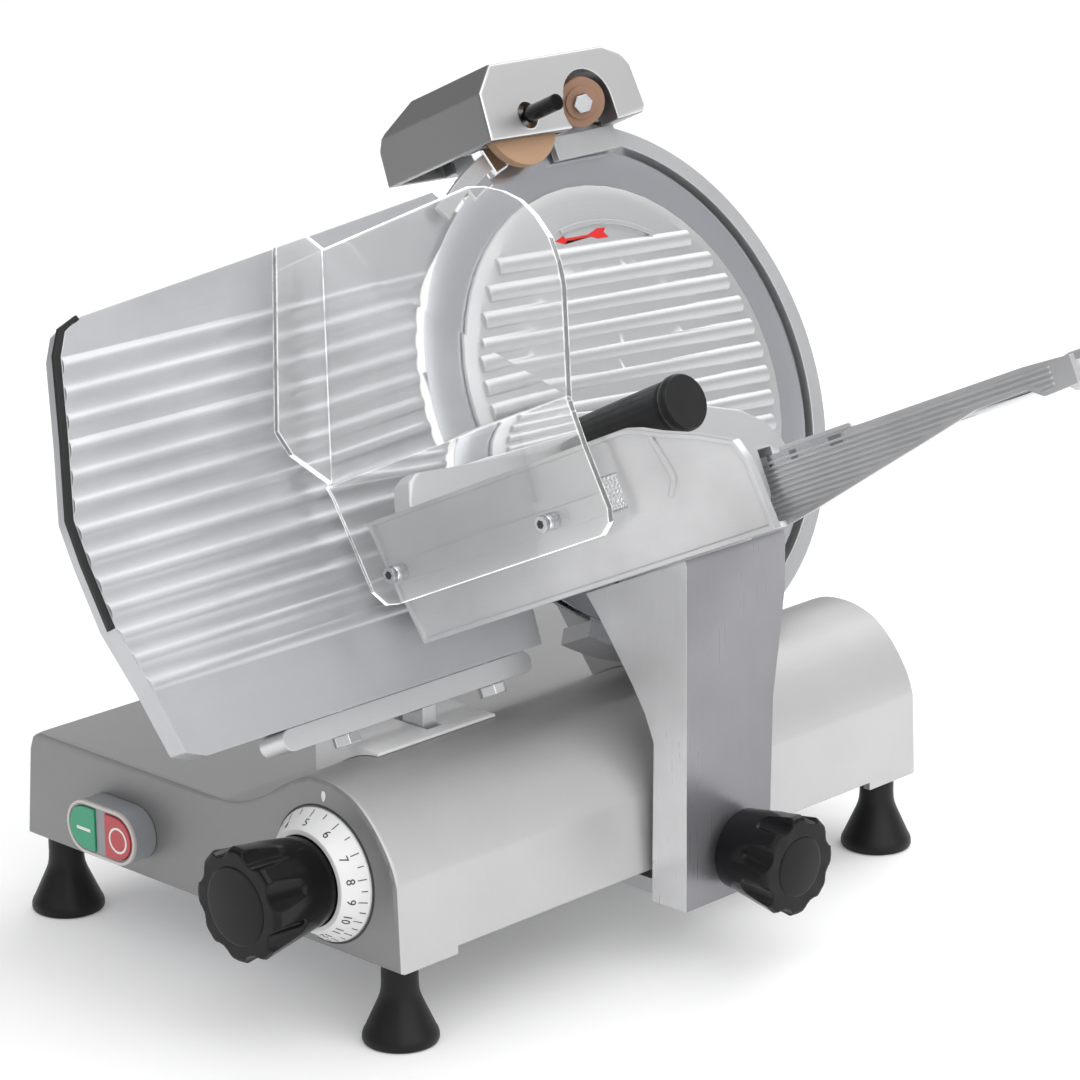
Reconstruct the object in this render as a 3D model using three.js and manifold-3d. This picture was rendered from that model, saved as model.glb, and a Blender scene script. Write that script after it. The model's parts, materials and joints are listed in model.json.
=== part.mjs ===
import * as THREE from 'three';
import { mergeVertices } from 'three/addons/utils/BufferGeometryUtils.js';
import Module from 'manifold-3d';

const wasm = await Module();
wasm.setup();

// Gravity-feed slicer, in millimetres. +X is the operator's right, +Y away from the operator, +Z up.
// The blade, the gauge plate and the tray share one leaned frame on the blade's centre:
// along the machine (x), up the blade's face (y) and out of the blade's face (z).

// Driving sizes
const gap = 0.3;
const runningFit = 0.1;
const overrun = 1.5;
const leanDegrees = 25;
const lean = THREE.MathUtils.degToRad(leanDegrees);
const [quarterTurn, halfTurn, fullTurn] = [90, 180, 360];
const finePitch = 36;
const midPitch = 24;
const coarsePitch = 16;
const powerPitch = 10;

const base = {
  halfWidth: 134, halfLength: 185, height: 123.8, underside: 40, wall: 4, edgeRound: 2.5,
  notchHeight: 4, notchHalfLength: 148, plateEdge: 44, plateThickness: 1.6, bossRadius: 11, bossHeight: 26,
  louvreCount: 8, louvreWidth: 4, louvrePitch: 10, louvreHalf: 44,
};
const foot = { radius: 18.3, height: 39.7, inset: 13.5, studRadius: 3, studLength: 18 };
const blade = {
  radius: 125, thickness: 5.2, back: -3, boreRadius: 20.3, fromSide: 93, fromRear: 119.2,
  aboveCrest: 4.8,
};
const cover = {
  margin: 21.4, seat: 3, rim: 1.8, crown: 5.6, ribWidth: 8.4, ribRise: 1.7, ribCount: 12, ribMargin: 8,
  arcWidth: 2.4, ribTiltDegrees: 3.6, arcFromDegrees: 57, arcToDegrees: 101,
};
const ring = {
  clearance: 3, width: 8.7, front: 3, back: -18, plateFront: -9, lipBack: 0.6, lipFromDegrees: 104,
  toDegrees: 235, overlapDegrees: 1, thinFromDegrees: 128, webFromDegrees: 62, webToDegrees: -100,
};
const pad = { left: 0, right: 44, below: 12, rise: 4 };
const housing = { radius: 66, wall: 5, back: -46, front: -9, hubRadius: 18, hubBack: -80 };
const shaft = { radius: 8, boltRadius: 3, flangeRadius: 30, flangeThickness: 4.4, back: -84 };
const bearing = { radius: 13, width: 8 };
const drive = {
  beltPlane: -30, beltWidth: 8, beltThickness: 2, bigRadius: 42, smallRadius: 10, belowRing: 23.3,
  webThickness: 4, webRise: 50, motorRadius: 20, motorNeck: 8, motorLength: 54, spindleRadius: 4,
  flange: 2,
};
const gauge = {
  face: -3, skin: 5, depth: 12, edgeWall: 6, ribRise: 1.6, ribWidth: 8, ribCount: 13, ribMargin: 9,
  bladeClear: 1.6, trim: 3.4, trimPointCount: 6, arcFromDegrees: 143, arcToDegrees: 218, arcPitch: 24,
};
const gaugeBar = { thickness: 10.6, back: -32, front: -14 };
const gaugeBolt = { radius: 3.5, headRadius: 7, headHeight: 5, reach: 17, sideCount: 6 };
const carrier = {
  back: -56, front: -19, belowRing: 21.3, thickness: 15, length: 65, fromCam: 5.2, rodRadius: 4.5,
};
const post = { width: 14, depth: 9, fromCam: 60.9, fromFoot: 31.8 };
const travel = { open: 10, close: 3 };
const collar = { before: 26, after: 17, front: 43.5, back: 35.5, rise: 2.5, depth: 46.3, taper: 3.4 };
const dial = {
  fromFoot: 13.3, belowCrest: 46.8, ringRadius: 32.4, ringNeck: 24.6, ringDepth: 12, ringLip: 1.2,
  knobRadius: 28, knobNeck: 21.6, knobSleeve: 12.3, knobLength: 55, knobRound: 3, shaftRadius: 5,
  fluteCount: 8, fluteRadius: 9, fluteDepth: 4.6, fluteLength: 30, camRadius: 26, camThickness: 8,
  grooveWidth: 5.8, pinRadius: 2.5, nearRadius: 11, turnTravel: 16.36, nearEnd: 1.3, farEnd: 0.5,
};
const power = {
  fromFoot: 23.5, width: 50.4, height: 27, rim: 2.4, proud: 13.6, bar: 7.2, buttonProud: 1, travel: 3,
  };
const rail = {
  mainRadius: 7, mainInset: 26, mainRise: 10.5, guideRadius: 5, guideInset: 74, guideRise: 7, bossDepth: 7,
};
const slide = { beside: 9, beyond: 11, above: 11.5, aboveGuide: 9, below: 3, step: 17, rampWidth: 8 };
const column = { clearance: 3.1, width: 22.6, toBlade: 85.1, depth: 70.3, foot: 29.4, topClearance: 1.2 };
const pivot = { inset: 12.3, rise: 4, pinRadius: 2.2, knuckle: 4.2, from: 19.3, length: 32, pinSpare: 8 };
const arm = { top: 37, from: 7.3, length: 56, left: 92 };
const lock = {
  along: 33.3, rise: 25.6, knobRadius: 25.4, knobNeck: 20, knobSleeve: 1, knobLength: 36.7, knobRound: 3,
  fluteCount: 8, fluteRadius: 8, fluteDepth: 4.4, fluteLength: 24, shaftRadius: 4, neck: 12, neckLength: 6,
};
const tray = {
  wall: 3.2, floorWall: 3, ribCount: 12, ribRise: 0.9, ribPitch: 2.7, ribWidth: 1.4, rim: 2.2, rimRise: 1.2,
  stripHalf: 5, ridgeRise: 0.9, squareDepth: 0.7,
};
const rod = { behind: 14, radius: 6, start: 12, bossRadius: 9.5, bossLength: 14, innerBoss: 19,
  screwRadius: 3 };
const guard = { standOff: 6, wall: 3, leanDegrees: 20, screwRadius: 2.5, headRadius: 4, headHeight: 2.6 };
const pusher = {
  face: 30, thickness: 12, tubeRadius: 10.3, tubeStart: 27, tubeEnd: 78, toothRise: 2.6, toothWidth: 3,
  toothPitch: 9, bushRadius: 7.6,
};
const handle = { capRadius: 14, reach: 80 };
const sharpener = {
  span: 125, front: 20, back: -62, wall: 4, postRadius: 7, postLength: 22, seatHalf: 16, seatRise: 4.3,
    towerDepth: 32,
  hollowBack: 5.6, windowWidth: 12.6, windowHeight: 14, archRadius: 16.5, roomLeft: 49, roomRight: 52,
    roomRise: 11, webBack: -8,
};
const stone = {
  grindRadius: 23.5, grindThickness: 5, grindFace: 8.4, honeRadius: 12.5, honeThickness: 7,
  honeOut: 13, honeTipDegrees: 20, honeTurnDegrees: -30, spindle: 2.7, spindleHead: 5, headHeight: 2.4,
  seat: 8, spare: 1, roomDepth: 31, sideCount: 6,
};
const button = { stem: 2.4, radius: 4.2, reach: 4.6, cap: 21, travel: 1.8 };
const tieKnob = { radius: 15, lobe: 1.4, lobeCount: 6, thickness: 16, socket: 8 };

// Outlines, as shares of the size that they follow
const baseLeftShares = [[-1, 0.323], [-0.97, 0.695], [-0.951, 0.751], [-0.903, 0.779], [0.05, 0.778]];
const humpShares = [[0.11, 0.778], [0.179, 0.787], [0.261, 0.817], [0.343, 0.864], [0.418, 0.918],
  [0.493, 0.964],
  [0.563, 0.992], [0.64, 1], [0.716, 0.99], [0.799, 0.956], [0.873, 0.893], [0.933, 0.816], [0.978,
    0.735], [1, 0.662]];
const baseFootShares = [[1.012, 0.323]];
const gaugeShares = [[-2.48, 0.779], [-1.966, 0.822], [-1.2, 0.889], [-0.632, 0.939], [-0.576, 0.88],
  [-0.52, 0.832]];
const gaugeLeftShares = [[-0.82, -0.867], [-2.542, -0.867], [-2.628, -0.832], [-2.685, -0.578], [-2.754,
  -0.333],
  [-2.778, -0.084], [-2.783, 0.078], [-2.696, 0.358], [-2.613, 0.654], [-2.56, 0.74]];
const gaugeBarShares = [-2.128, -0.832];
const boltShares = [-1.776, -1.008];
const [firstRibShare, ribPitchShare] = [0.616, 0.0984];
const [coverArcShare, coverRibShare, coverPitchShare] = [0.82, 0.662, 0.1216];
const coverProfileShares = [[0, 1], [0.6, 0.88], [0.94, 0.58], [1, 0.32]];
const bladeProfileShares = [[0.78, 0], [0.96, 0.17], [1, 0.55], [1, 0.62], [0.9, 1]];
const [trayFrontShare, trayBackShare, trayFloorShare] = [-1.6224, 0.4336, -0.728];
const [rodLevelShare, rodEndShare, rodBossShare] = [-0.512, 1.944, 1.776];
const nearWallShares = [[0.152, -0.237], [0.2, -0.552], [0.237, -0.728], [2.12, -0.728], [2.1, -0.48],
  [2.064, -0.4],
  [1.92, -0.344], [1.736, -0.288], [1.64, -0.252], [1.568, -0.236]];
const ridgeShares = [[1.672, -0.272], [1.692, -0.272], [1.744, -0.44], [1.74, -0.47], [1.7, -0.516],
  [1.686, -0.504],
  [1.72, -0.464], [1.724, -0.446]];
const stripShares = [[0.2, -0.448], [1.384, -0.456]];
const squareShares = [[1.384, -0.368], [1.472, -0.368], [1.472, -0.496], [1.384, -0.496]];
const backWallShares = [[0.144, -0.472], [0.144, -0.712], [0.216, -0.728], [0.4, -0.7], [0.744, -0.64],
  [1.096, -0.58],
  [1.36, -0.532], [1.64, -0.524], [1.712, -0.568], [1.888, -0.56], [1.888, -0.448],
  [1.648, -0.436], [0.176, -0.436]];
const floorShares = [[-1.622, 0.232], [-1.622, 2.104], [0.424, 0.216], [0.424, 0.144], [-1.12, 0.144],
  [-1.52, 0.2]];
const guardBendShare = -0.072;
const guardScrewShares = [[0.26, -0.448], [1.12, -0.456]];
const guardLowerShares = [[0.054, -0.064], [0.068, -0.112], [0.1, -0.36], [0.116, -0.488], [0.168,
  -0.548], [0.24, -0.56],
  [1.376, -0.564], [1.432, -0.528], [1.448, -0.48], [1.428, -0.24], [1.424, -0.064]];
const guardUpperShares = [[0.064, 0], [0.064, 0.923], [0.947, 0.914], [1.042, 0.888], [1.136, 0.845],
  [1.23, 0.783],
  [1.309, 0.701], [1.379, 0.598], [1.416, 0.496], [1.434, 0.402], [1.427, 0]];
const guardFlapShares = [[0, 0], [0, 0.92], [0.096, 0.968], [0.16, 0.973], [0.24, 0.896], [0.264, 0.176],
  [0.2, 0.096]];
const pusherShares = [[-1.448, -0.136], [-1.408, -0.112], [-1.272, -0.08], [-1.04, -0.048], [-0.576,
  -0.048],
  [-0.16, -0.104], [0.168, -0.168], [0.352, -0.224], [0.464, -0.296], [0.528, -0.376],
  [0.548, -0.432], [0.448, -0.448], [0.448, -0.404], [0.376, -0.404], [0.376, -0.576],
  [0.336, -0.664], [-1.32, -0.664], [-1.408, -0.624], [-1.464, -0.48], [-1.48, -0.216]];
const toothShares = [[-1.262, -0.552], [0.13, -0.248]];
const handleShares = [-0.5824, -0.168];
const sharpenerShares = [[-0.309, 0.229], [0.325, 0.215], [0.415, 0.171], [0.45, 0.119], [0.461, -0.057],
  [0.442, -0.083], [0.192, -0.098], [-0.426, -0.071], [-0.409, 0.124]];
const sharpenerRearShares = [[-0.312, 0.322], [-0.312, 0.242], [-0.448, 0.142], [-0.49, 0.072],
  [-0.49, -0.108], [-0.6, -0.108], [-0.6, 0.322]];
const [grindShares, honeShares, archShares] = [[-0.192, 0], [0.16, 0.02], [0.156, 0.008]];
const columnShares = [[0, 0], [1, 0], [1, 0.981], [0.957, 0.998], [-1.907, 0.829], [-1.5, 0.769],
  [-1.136, 0.707],
  [-0.564, 0.608], [-0.186, 0.533], [0.057, 0.459]];
const columnRearShares = [[1.073, 1.117], [1.653, 1.117], [1.653, -0.282], [0.855, -0.282], [0.855, 0.068],
  [0.886, 0.534], [0.956, 0.709], [1.015, 0.883]];
const pedestalShares = [[-0.375, 0], [-0.338, -0.375], [-0.212, -0.938], [0.212, -0.938], [0.338,
  -0.375], [0.375, 0]];
const channelShares = [[-0.312, 0], [-0.106, -1.1], [0.106, -1.1], [0.312, 0]];
const deflectorShares = [[-0.93, 0.24], [-0.91, -0.32], [-0.76, -0.66], [-0.52, -0.84], [-0.2, -0.44],
  [-0.36, -0.32],
  [-0.46, -0.12], [-0.47, 0.1]];
const footShares = [[0, 0], [0.9, 0], [1, 0.05], [0.98, 0.2], [0.82, 0.36], [0.66, 0.5], [0.58, 0.66],
  [0.557, 1]];
const handleProfileShares = [[0, 0], [0.72, 0], [0.74, 0.05], [0.8, 0.3], [0.88, 0.7], [0.92, 0.9],
  [0.99, 0.93],
  [1, 0.96], [0.96, 0.99], [0.86, 1], [0, 1]];

// Places that follow the driving sizes
const bladeX = base.halfWidth - blade.fromSide;
const bladeY = base.halfLength - blade.fromRear;
const coverRadius = blade.radius - cover.margin;
const ringInner = blade.radius + ring.clearance;
const ringOuter = ringInner + ring.width;
const bladeZ = base.height + ringOuter * Math.cos(lean) + blade.aboveCrest;
const ringFootX = bladeX + ringOuter * Math.sin(lean);
const driveDrop = ringOuter + drive.belowRing;
const carrierLevel = -ringOuter - carrier.belowRing;
const endWall = base.halfLength - base.wall;
const camBack = -endWall + dial.camThickness + rail.bossDepth + 2 * gap;
const carrierLeft = camBack + carrier.fromCam - bladeY;
const carrierRight = carrierLeft + carrier.length;
const [postX, postY] = [ringFootX - post.fromFoot, camBack + post.fromCam];
const [dialX, dialZ] = [ringFootX - dial.fromFoot, base.height - dial.belowCrest];
const [powerX, powerZ] = [-base.halfWidth / 2 + 2 * base.wall, base.underside + power.fromFoot];
const [railX, railZ] = [base.halfWidth - rail.mainInset, base.underside + rail.mainRise];
const [guideX, guideZ] = [base.halfWidth - rail.guideInset, base.underside + rail.guideRise];
const columnInner = base.halfWidth * baseFootShares[0][0] + column.clearance;
const columnOuter = columnInner + column.width;
const columnFront = bladeY - column.toBlade;
const columnBack = columnFront + column.depth;
const [pivotX, pivotZ] = [columnOuter - pivot.inset, column.foot + pivot.rise];
const [pivotFront, pivotBack] = [columnFront + pivot.from, columnFront + pivot.from + pivot.length];
const [lockY, lockZ] = [columnFront + lock.along, column.foot + lock.rise];
const trayFront = blade.radius * trayFrontShare;
const trayBack = blade.radius * trayBackShare;
const trayFloor = blade.radius * trayFloorShare;
const trayOut = (columnOuter - bladeX + trayFloor * Math.sin(lean)) / Math.cos(lean);
const columnTop = bladeZ + trayFloor * Math.cos(lean) + trayOut * Math.sin(lean) - column.topClearance;
const [rodX, rodY, rodEnd] = [trayBack + rod.behind, blade.radius * rodLevelShare,
  blade.radius * rodEndShare];
const rodBoss = blade.radius * rodBossShare;
const guardX = trayFront - guard.standOff;
const guardLean = THREE.MathUtils.degToRad(guard.leanDegrees);
const [guardBend, gaugeBottom] = [blade.radius * guardBendShare, blade.radius * gaugeLeftShares[0][1]];
const seatTop = ringOuter + sharpener.seatRise;
const inHood = (shares) => shares.map(([x, y]) => [x * sharpener.span, seatTop + y * sharpener.span]);
const [[grindX, grindY], [honeX, honeY], [archX, archY]] = inHood([grindShares, honeShares, archShares]);

// Finishes
const finishes = {
  anodised: { color: 0xb9bcc0, roughness: 0.38, metalness: 0.85 },
  cast: { color: 0xc3c6ca, roughness: 0.45, metalness: 0.8 },
  steel: { color: 0xcfd3d8, roughness: 0.18, metalness: 1 },
  bladeSteel: { color: 0xdfe4ea, roughness: 0.12, metalness: 1 },
  chrome: { color: 0xe4e7ea, roughness: 0.08, metalness: 1 },
  black: { color: 0x111214, roughness: 0.3, metalness: 0 },
  rubber: { color: 0x161616, roughness: 0.85, metalness: 0 },
  clear: { color: 0xdfe9ec, roughness: 0.06, metalness: 0 },
  white: { color: 0xeceae4, roughness: 0.4, metalness: 0 },
  green: { color: 0x1c8a4a, roughness: 0.35, metalness: 0 },
  red: { color: 0xb3201f, roughness: 0.35, metalness: 0 },
  stoneTan: { color: 0xb59a72, roughness: 0.95, metalness: 0 },
  stoneBrown: { color: 0x7a5a42, roughness: 0.95, metalness: 0 },
  copperBrown: { color: 0x5b4a3c, roughness: 0.5, metalness: 0.4 },
};

const group = new THREE.Group();
group.name = 'meat_slicer';

// Solids
function bareIndexed(geometry) {
  const bare = new THREE.BufferGeometry();
  bare.setAttribute('position', geometry.getAttribute('position').clone());
  if (geometry.index) bare.setIndex(geometry.index.clone());
  return mergeVertices(bare);
}

function keptTriangles(index) {
  const kept = [];
  for (let i = 0; i < index.length; i += 3) {
    const [a, b, c] = [index[i], index[i + 1], index[i + 2]];
    if (a !== b && b !== c && c !== a) kept.push(a, b, c);
  }
  return kept;
}

function signedVolume(position, index) {
  const [a, b, c] = [new THREE.Vector3(), new THREE.Vector3(), new THREE.Vector3()];
  let sum = 0;
  for (let i = 0; i < index.length; i += 3) {
    a.fromBufferAttribute(position, index[i]);
    b.fromBufferAttribute(position, index[i + 1]);
    c.fromBufferAttribute(position, index[i + 2]);
    sum += a.dot(b.cross(c));
  }
  return sum;
}

function toSolid(geometry) {
  const merged = bareIndexed(geometry);
  const position = merged.getAttribute('position');
  const kept = keptTriangles(merged.index.array);
  if (signedVolume(position, kept) < 0) kept.reverse();
  return new wasm.Manifold(new wasm.Mesh({
    numProp: 3,
    vertProperties: new Float32Array(position.array),
    triVerts: new Uint32Array(kept),
  }));
}

function toGeometry(solid) {
  const mesh = solid.getMesh();
  const geometry = new THREE.BufferGeometry();
  geometry.setAttribute('position', new THREE.BufferAttribute(new Float32Array(mesh.vertProperties), 3));
  geometry.setIndex(new THREE.BufferAttribute(new Uint32Array(mesh.triVerts), 1));
  geometry.computeVertexNormals();
  return geometry;
}

function join(first, ...others) {
  let solid = toSolid(first);
  for (const other of others) solid = solid.add(toSolid(other));
  return toGeometry(solid);
}

function cut(first, ...tools) {
  let solid = toSolid(first);
  for (const tool of tools) solid = solid.subtract(toSolid(tool));
  return toGeometry(solid);
}

function meet(first, second) {
  return toGeometry(toSolid(first).intersect(toSolid(second)));
}

// Outlines
function scaled(shares, width, height = width) {
  return shares.map(([x, y]) => [x * width, y * height]);
}

function spanned(shares, x0, x1, y0, y1) {
  return shares.map(([x, y]) => [x0 + x * (x1 - x0), y0 + y * (y1 - y0)]);
}

function smoothed(points, steps) {
  const curve = new THREE.SplineCurve(points.map(([x, y]) => new THREE.Vector2(x, y)));
  return curve.getPoints(steps).map(({ x, y }) => [x, y]);
}

function arcPoints(radius, from, to, steps, x = 0, y = 0) {
  const points = [];
  for (let i = 0; i <= steps; i += 1) {
    const angle = THREE.MathUtils.degToRad(from + (to - from) * i / steps);
    points.push([x + radius * Math.cos(angle), y + radius * Math.sin(angle)]);
  }
  return points;
}

function circle(radius, steps, x = 0, y = 0) {
  return arcPoints(radius, 0, fullTurn, steps, x, y).slice(0, steps);
}

function oval(width, height, steps, x, y) {
  return circle(1, steps).map(([a, b]) => [x + a * width / 2, y + b * height / 2]);
}

function stadium(width, height, steps, x, y) {
  const [reach, radius] = [(width - height) / 2, height / 2];
  return [...arcPoints(radius, -quarterTurn, quarterTurn, steps, x + reach, y),
    ...arcPoints(radius, quarterTurn, quarterTurn + halfTurn, steps, x - reach, y)];
}

function rectangle(x0, x1, y0, y1) {
  return [[x0, y0], [x1, y0], [x1, y1], [x0, y1]];
}

function lobed(radius, lobe, lobes, steps) {
  const points = [];
  const turn = lobes * steps;
  for (let i = 0; i < turn; i += 1) {
    const angle = 2 * Math.PI * i / turn;
    const reach = radius - lobe * (1 - Math.abs(Math.cos(lobes * angle / 2)));
    points.push([reach * Math.cos(angle), reach * Math.sin(angle)]);
  }
  return points;
}

const sharpestTurn = 0.5;
function inset(outline, distance) {
  const count = outline.length;
  const area = outline.reduce((sum, [x, y], i) => {
    const [nextX, nextY] = outline[(i + 1) % count];
    return sum + x * nextY - nextX * y;
  }, 0);
  const side = Math.sign(area);
  return outline.map(([x, y], i) => {
    const [px, py] = outline[(i + count - 1) % count];
    const [nx, ny] = outline[(i + 1) % count];
    const before = new THREE.Vector2(x - px, y - py).normalize();
    const after = new THREE.Vector2(nx - x, ny - y).normalize();
    const left = new THREE.Vector2(-before.y - after.y, before.x + after.x).normalize();
    const reach = distance / Math.max(left.x * -before.y + left.y * before.x, sharpestTurn);
    return [x + side * left.x * reach, y + side * left.y * reach];
  });
}

// Plain forms: a slab stands on the XY plane, a turned form stands on the Z axis
function slab(outline, from, to, bevel = 0, holes = []) {
  const shape = new THREE.Shape(outline.map(([x, y]) => new THREE.Vector2(x, y)));
  for (const hole of holes) {
    shape.holes.push(new THREE.Path(hole.map(([x, y]) => new THREE.Vector2(x, y))));
  }
  const geometry = new THREE.ExtrudeGeometry(shape, {
    depth: to - from - 2 * bevel,
    bevelEnabled: bevel > 0,
    bevelThickness: bevel,
    bevelSize: bevel,
    bevelOffset: -bevel,
    bevelSegments: 2,
    steps: 1,
  });
  return geometry.translate(0, 0, from + bevel);
}

function turned(profile, steps = finePitch) {
  const points = profile.map(([r, z]) => new THREE.Vector2(r, z));
  points.push(points[0].clone());
  const onAxis = profile[0][0] === 0 && profile[profile.length - 1][0] === 0;
  if (onAxis) points.pop();
  return new THREE.LatheGeometry(points, steps).rotateX(Math.PI / 2);
}

function round(radius, from, to, steps = coarsePitch) {
  return turned([[0, from], [radius, from], [radius, to], [0, to]], steps);
}

function tube(inner, outer, from, to, steps = finePitch) {
  return turned([[inner, from], [outer, from], [outer, to], [inner, to]], steps);
}

// A rounded rib along X, standing on the plane z = foot
const ribShares = [[-0.5, -1], [-0.5, 0], [-0.27, 0.72], [0, 1], [0.27, 0.72], [0.5, 0], [0.5, -1]];
function roundedRib(width, rise, x0, x1, y, foot, taper = 0) {
  return slab(scaled(ribShares, width, rise).map(([a, b]) => [-b, a]), x0, x1, taper)
    .rotateY(quarterTurn * Math.PI / halfTurn).translate(0, y, foot);
}

function block(x0, x1, y0, y1, z0, z1) {
  return new THREE.BoxGeometry(x1 - x0, y1 - y0, z1 - z0)
    .translate((x0 + x1) / 2, (y0 + y1) / 2, (z0 + z1) / 2);
}

// Frames
const axisX = new THREE.Vector3(1, 0, 0);
const axisY = new THREE.Vector3(0, 1, 0);
const axisZ = new THREE.Vector3(0, 0, 1);
const faceUp = new THREE.Vector3(-Math.sin(lean), 0, Math.cos(lean));
const faceOut = new THREE.Vector3(Math.cos(lean), 0, Math.sin(lean));
const headFrame = new THREE.Matrix4().makeBasis(axisY, faceUp, faceOut)
  .setPosition(bladeX, bladeY, bladeZ);
const alongMachine = new THREE.Matrix4().makeBasis(axisX, axisZ, axisY.clone().negate());
const acrossMachine = new THREE.Matrix4().makeBasis(axisY, axisZ, axisX);
const alongTray = new THREE.Matrix4().makeBasis(axisZ, axisY, axisX.clone().negate());

// A form drawn in X and Z, standing from one Y to another
function frontForm(outline, fromY, toY, bevel = 0, holes = []) {
  return slab(outline, -toY, -fromY, bevel, holes).applyMatrix4(alongMachine);
}

// A turned form whose axis runs towards the operator, from the point x, z
function frontTurned(geometry, x, z) {
  return geometry.applyMatrix4(alongMachine).translate(x, 0, z);
}

// A form drawn in Y and Z, standing from one X to another
function sideForm(outline, fromX, toX, bevel = 0) {
  return slab(outline, fromX, toX, bevel).applyMatrix4(acrossMachine);
}

// A form in the leaned frame, drawn out and up the blade's face, standing from one x to another
function trayForm(outline, fromX, toX) {
  return slab(outline, -toX, -fromX).applyMatrix4(alongTray);
}

function inHead(geometry) {
  return geometry.applyMatrix4(headFrame);
}

function add(name, finish, geometry) {
  const material = new THREE.MeshStandardMaterial(finishes[finish]);
  material.name = finish;
  const mesh = new THREE.Mesh(toGeometry(toSolid(geometry)), material);
  mesh.name = name;
  group.add(mesh);
  return mesh;
}

function at(geometry, x, y, z) {
  return geometry.translate(x, y, z);
}

// Base casting: a hollow shell, open below, with its webs, lugs and bosses
const humpPoints = smoothed(scaled(humpShares, base.halfWidth, base.height), finePitch);
const baseOutline = [...scaled(baseLeftShares, base.halfWidth, base.height), ...humpPoints,
  ...scaled(baseFootShares, base.halfWidth, base.height)];
const hollowOutline = inset(baseOutline, base.wall);
hollowOutline[0][1] = base.underside - overrun;
hollowOutline[hollowOutline.length - 1][1] = base.underside - overrun;
const baseBlank = () => frontForm(baseOutline, -base.halfLength, base.halfLength, base.edgeRound);
const baseRelief = () => frontForm(inset(baseOutline, -gap), -base.halfLength, base.halfLength);
const footPlaces = [];
for (const side of [-1, 1]) {
  for (const end of [-1, 1]) {
    footPlaces.push([side * (base.halfWidth - foot.inset), end * (base.halfLength - foot.inset)]);
  }
}
const railPlaces = [[railX, railZ, rail.mainRadius], [guideX, guideZ, rail.guideRadius]];
const [beltBack, beltFront] = [drive.beltPlane - drive.beltWidth / 2,
  drive.beltPlane + drive.beltWidth / 2];
const webFront = beltBack - drive.flange - gap;
const webBack = webFront - drive.webThickness;
const webHalf = drive.motorRadius + base.wall;
const webOutline = rectangle(-webHalf, webHalf, -driveDrop - webHalf, -driveDrop + drive.webRise);
const channel = () => slab(scaled(channelShares, driveDrop), beltBack - drive.flange,
  beltFront + drive.flange);
const [carrierBottom, carrierTop] = [carrierLevel - carrier.thickness / 2,
  carrierLevel + carrier.thickness / 2];
const lugOutline = rectangle(carrierLeft - gap, carrierRight + gap, carrierBottom,
  carrierTop + 2 * carrier.thickness);
const rodPlaces = [carrierLeft + carrier.thickness / 2, carrierRight - carrier.thickness / 2];
const lugBack = carrier.back - travel.open - gap;
const lugFront = carrier.front + travel.close + gap;
const lugThickness = base.wall + base.wall / 2;
const lug = (from, to) => inHead(slab(lugOutline, from, to));
const gaugeRod = (x, radius, spare) => at(
  round(radius, lugBack - lugThickness + spare, lugFront + lugThickness - spare), x, carrierLevel, 0);
const postSlot = (fromZ, toZ, spare) => block(
  postX - post.width / 2 - travel.open - spare, postX + post.width / 2 + travel.close + spare,
  postY - post.depth / 2 - spare, postY + post.depth / 2 + spare, fromZ, toZ);

function railBosses() {
  return railPlaces.flatMap(([x, z, radius]) => [-1, 1].map((end) => {
    const from = end < 0 ? -endWall - overrun : endWall - rail.bossDepth;
    return frontTurned(round(radius + base.wall, -from - rail.bossDepth - overrun, -from), x, z);
  }));
}

function baseCasting() {
  const webs = meet(join(
    inHead(slab(webOutline, webBack, webFront)),
    lug(lugBack - lugThickness, lugBack),
    lug(lugFront, lugFront + lugThickness),
  ), baseBlank());
  const bosses = footPlaces.map(([x, y]) => at(
    round(base.bossRadius, base.underside, base.underside + base.bossHeight), x, y, 0));
  const shell = cut(baseBlank(), frontForm(hollowOutline, -endWall, endWall));
  const solid = join(shell, webs, ...bosses, ...railBosses());
  const studHoles = footPlaces.map(([x, y]) => at(
    round(foot.studRadius + gap, base.underside - overrun, base.underside + foot.studLength + gap), x, y,
      0));
  const railHoles = railPlaces.map(([x, z, radius]) => frontTurned(
    round(radius + gap, -endWall - gap, endWall + gap), x, z));
  const rodHoles = rodPlaces.map((x) => inHead(gaugeRod(x, carrier.rodRadius + gap, -overrun)));
  const dialHole = frontTurned(
    round(dial.shaftRadius + gap, endWall - rail.bossDepth, base.halfLength + overrun), dialX, dialZ);
  const powerHole = frontForm(
    stadium(power.width - 4 * power.rim, power.height - 4 * power.rim, powerPitch, powerX, powerZ),
    -base.halfLength - overrun, -endWall + overrun);
  const spindleHole = inHead(at(
    round(drive.spindleRadius + 2 * gap, webBack - overrun, webFront + overrun), 0, -driveDrop, 0));
  const beltSlot = meet(inHead(channel()), block(0, base.halfWidth, -base.halfLength, base.halfLength,
    base.height / 2 + base.wall, base.height + overrun));
  const notch = block(base.halfWidth - base.wall * 2, base.halfWidth + base.wall, -base.notchHalfLength,
    base.notchHalfLength, base.underside - overrun, base.underside + base.notchHeight);
  return cut(solid, ...studHoles, ...railHoles, ...rodHoles, dialHole, powerHole, spindleHole, beltSlot,
    postSlot(base.height / 2 + base.underside / 2, base.height + overrun, gap), notch);
}
add('base_casting', 'anodised', baseCasting());

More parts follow.
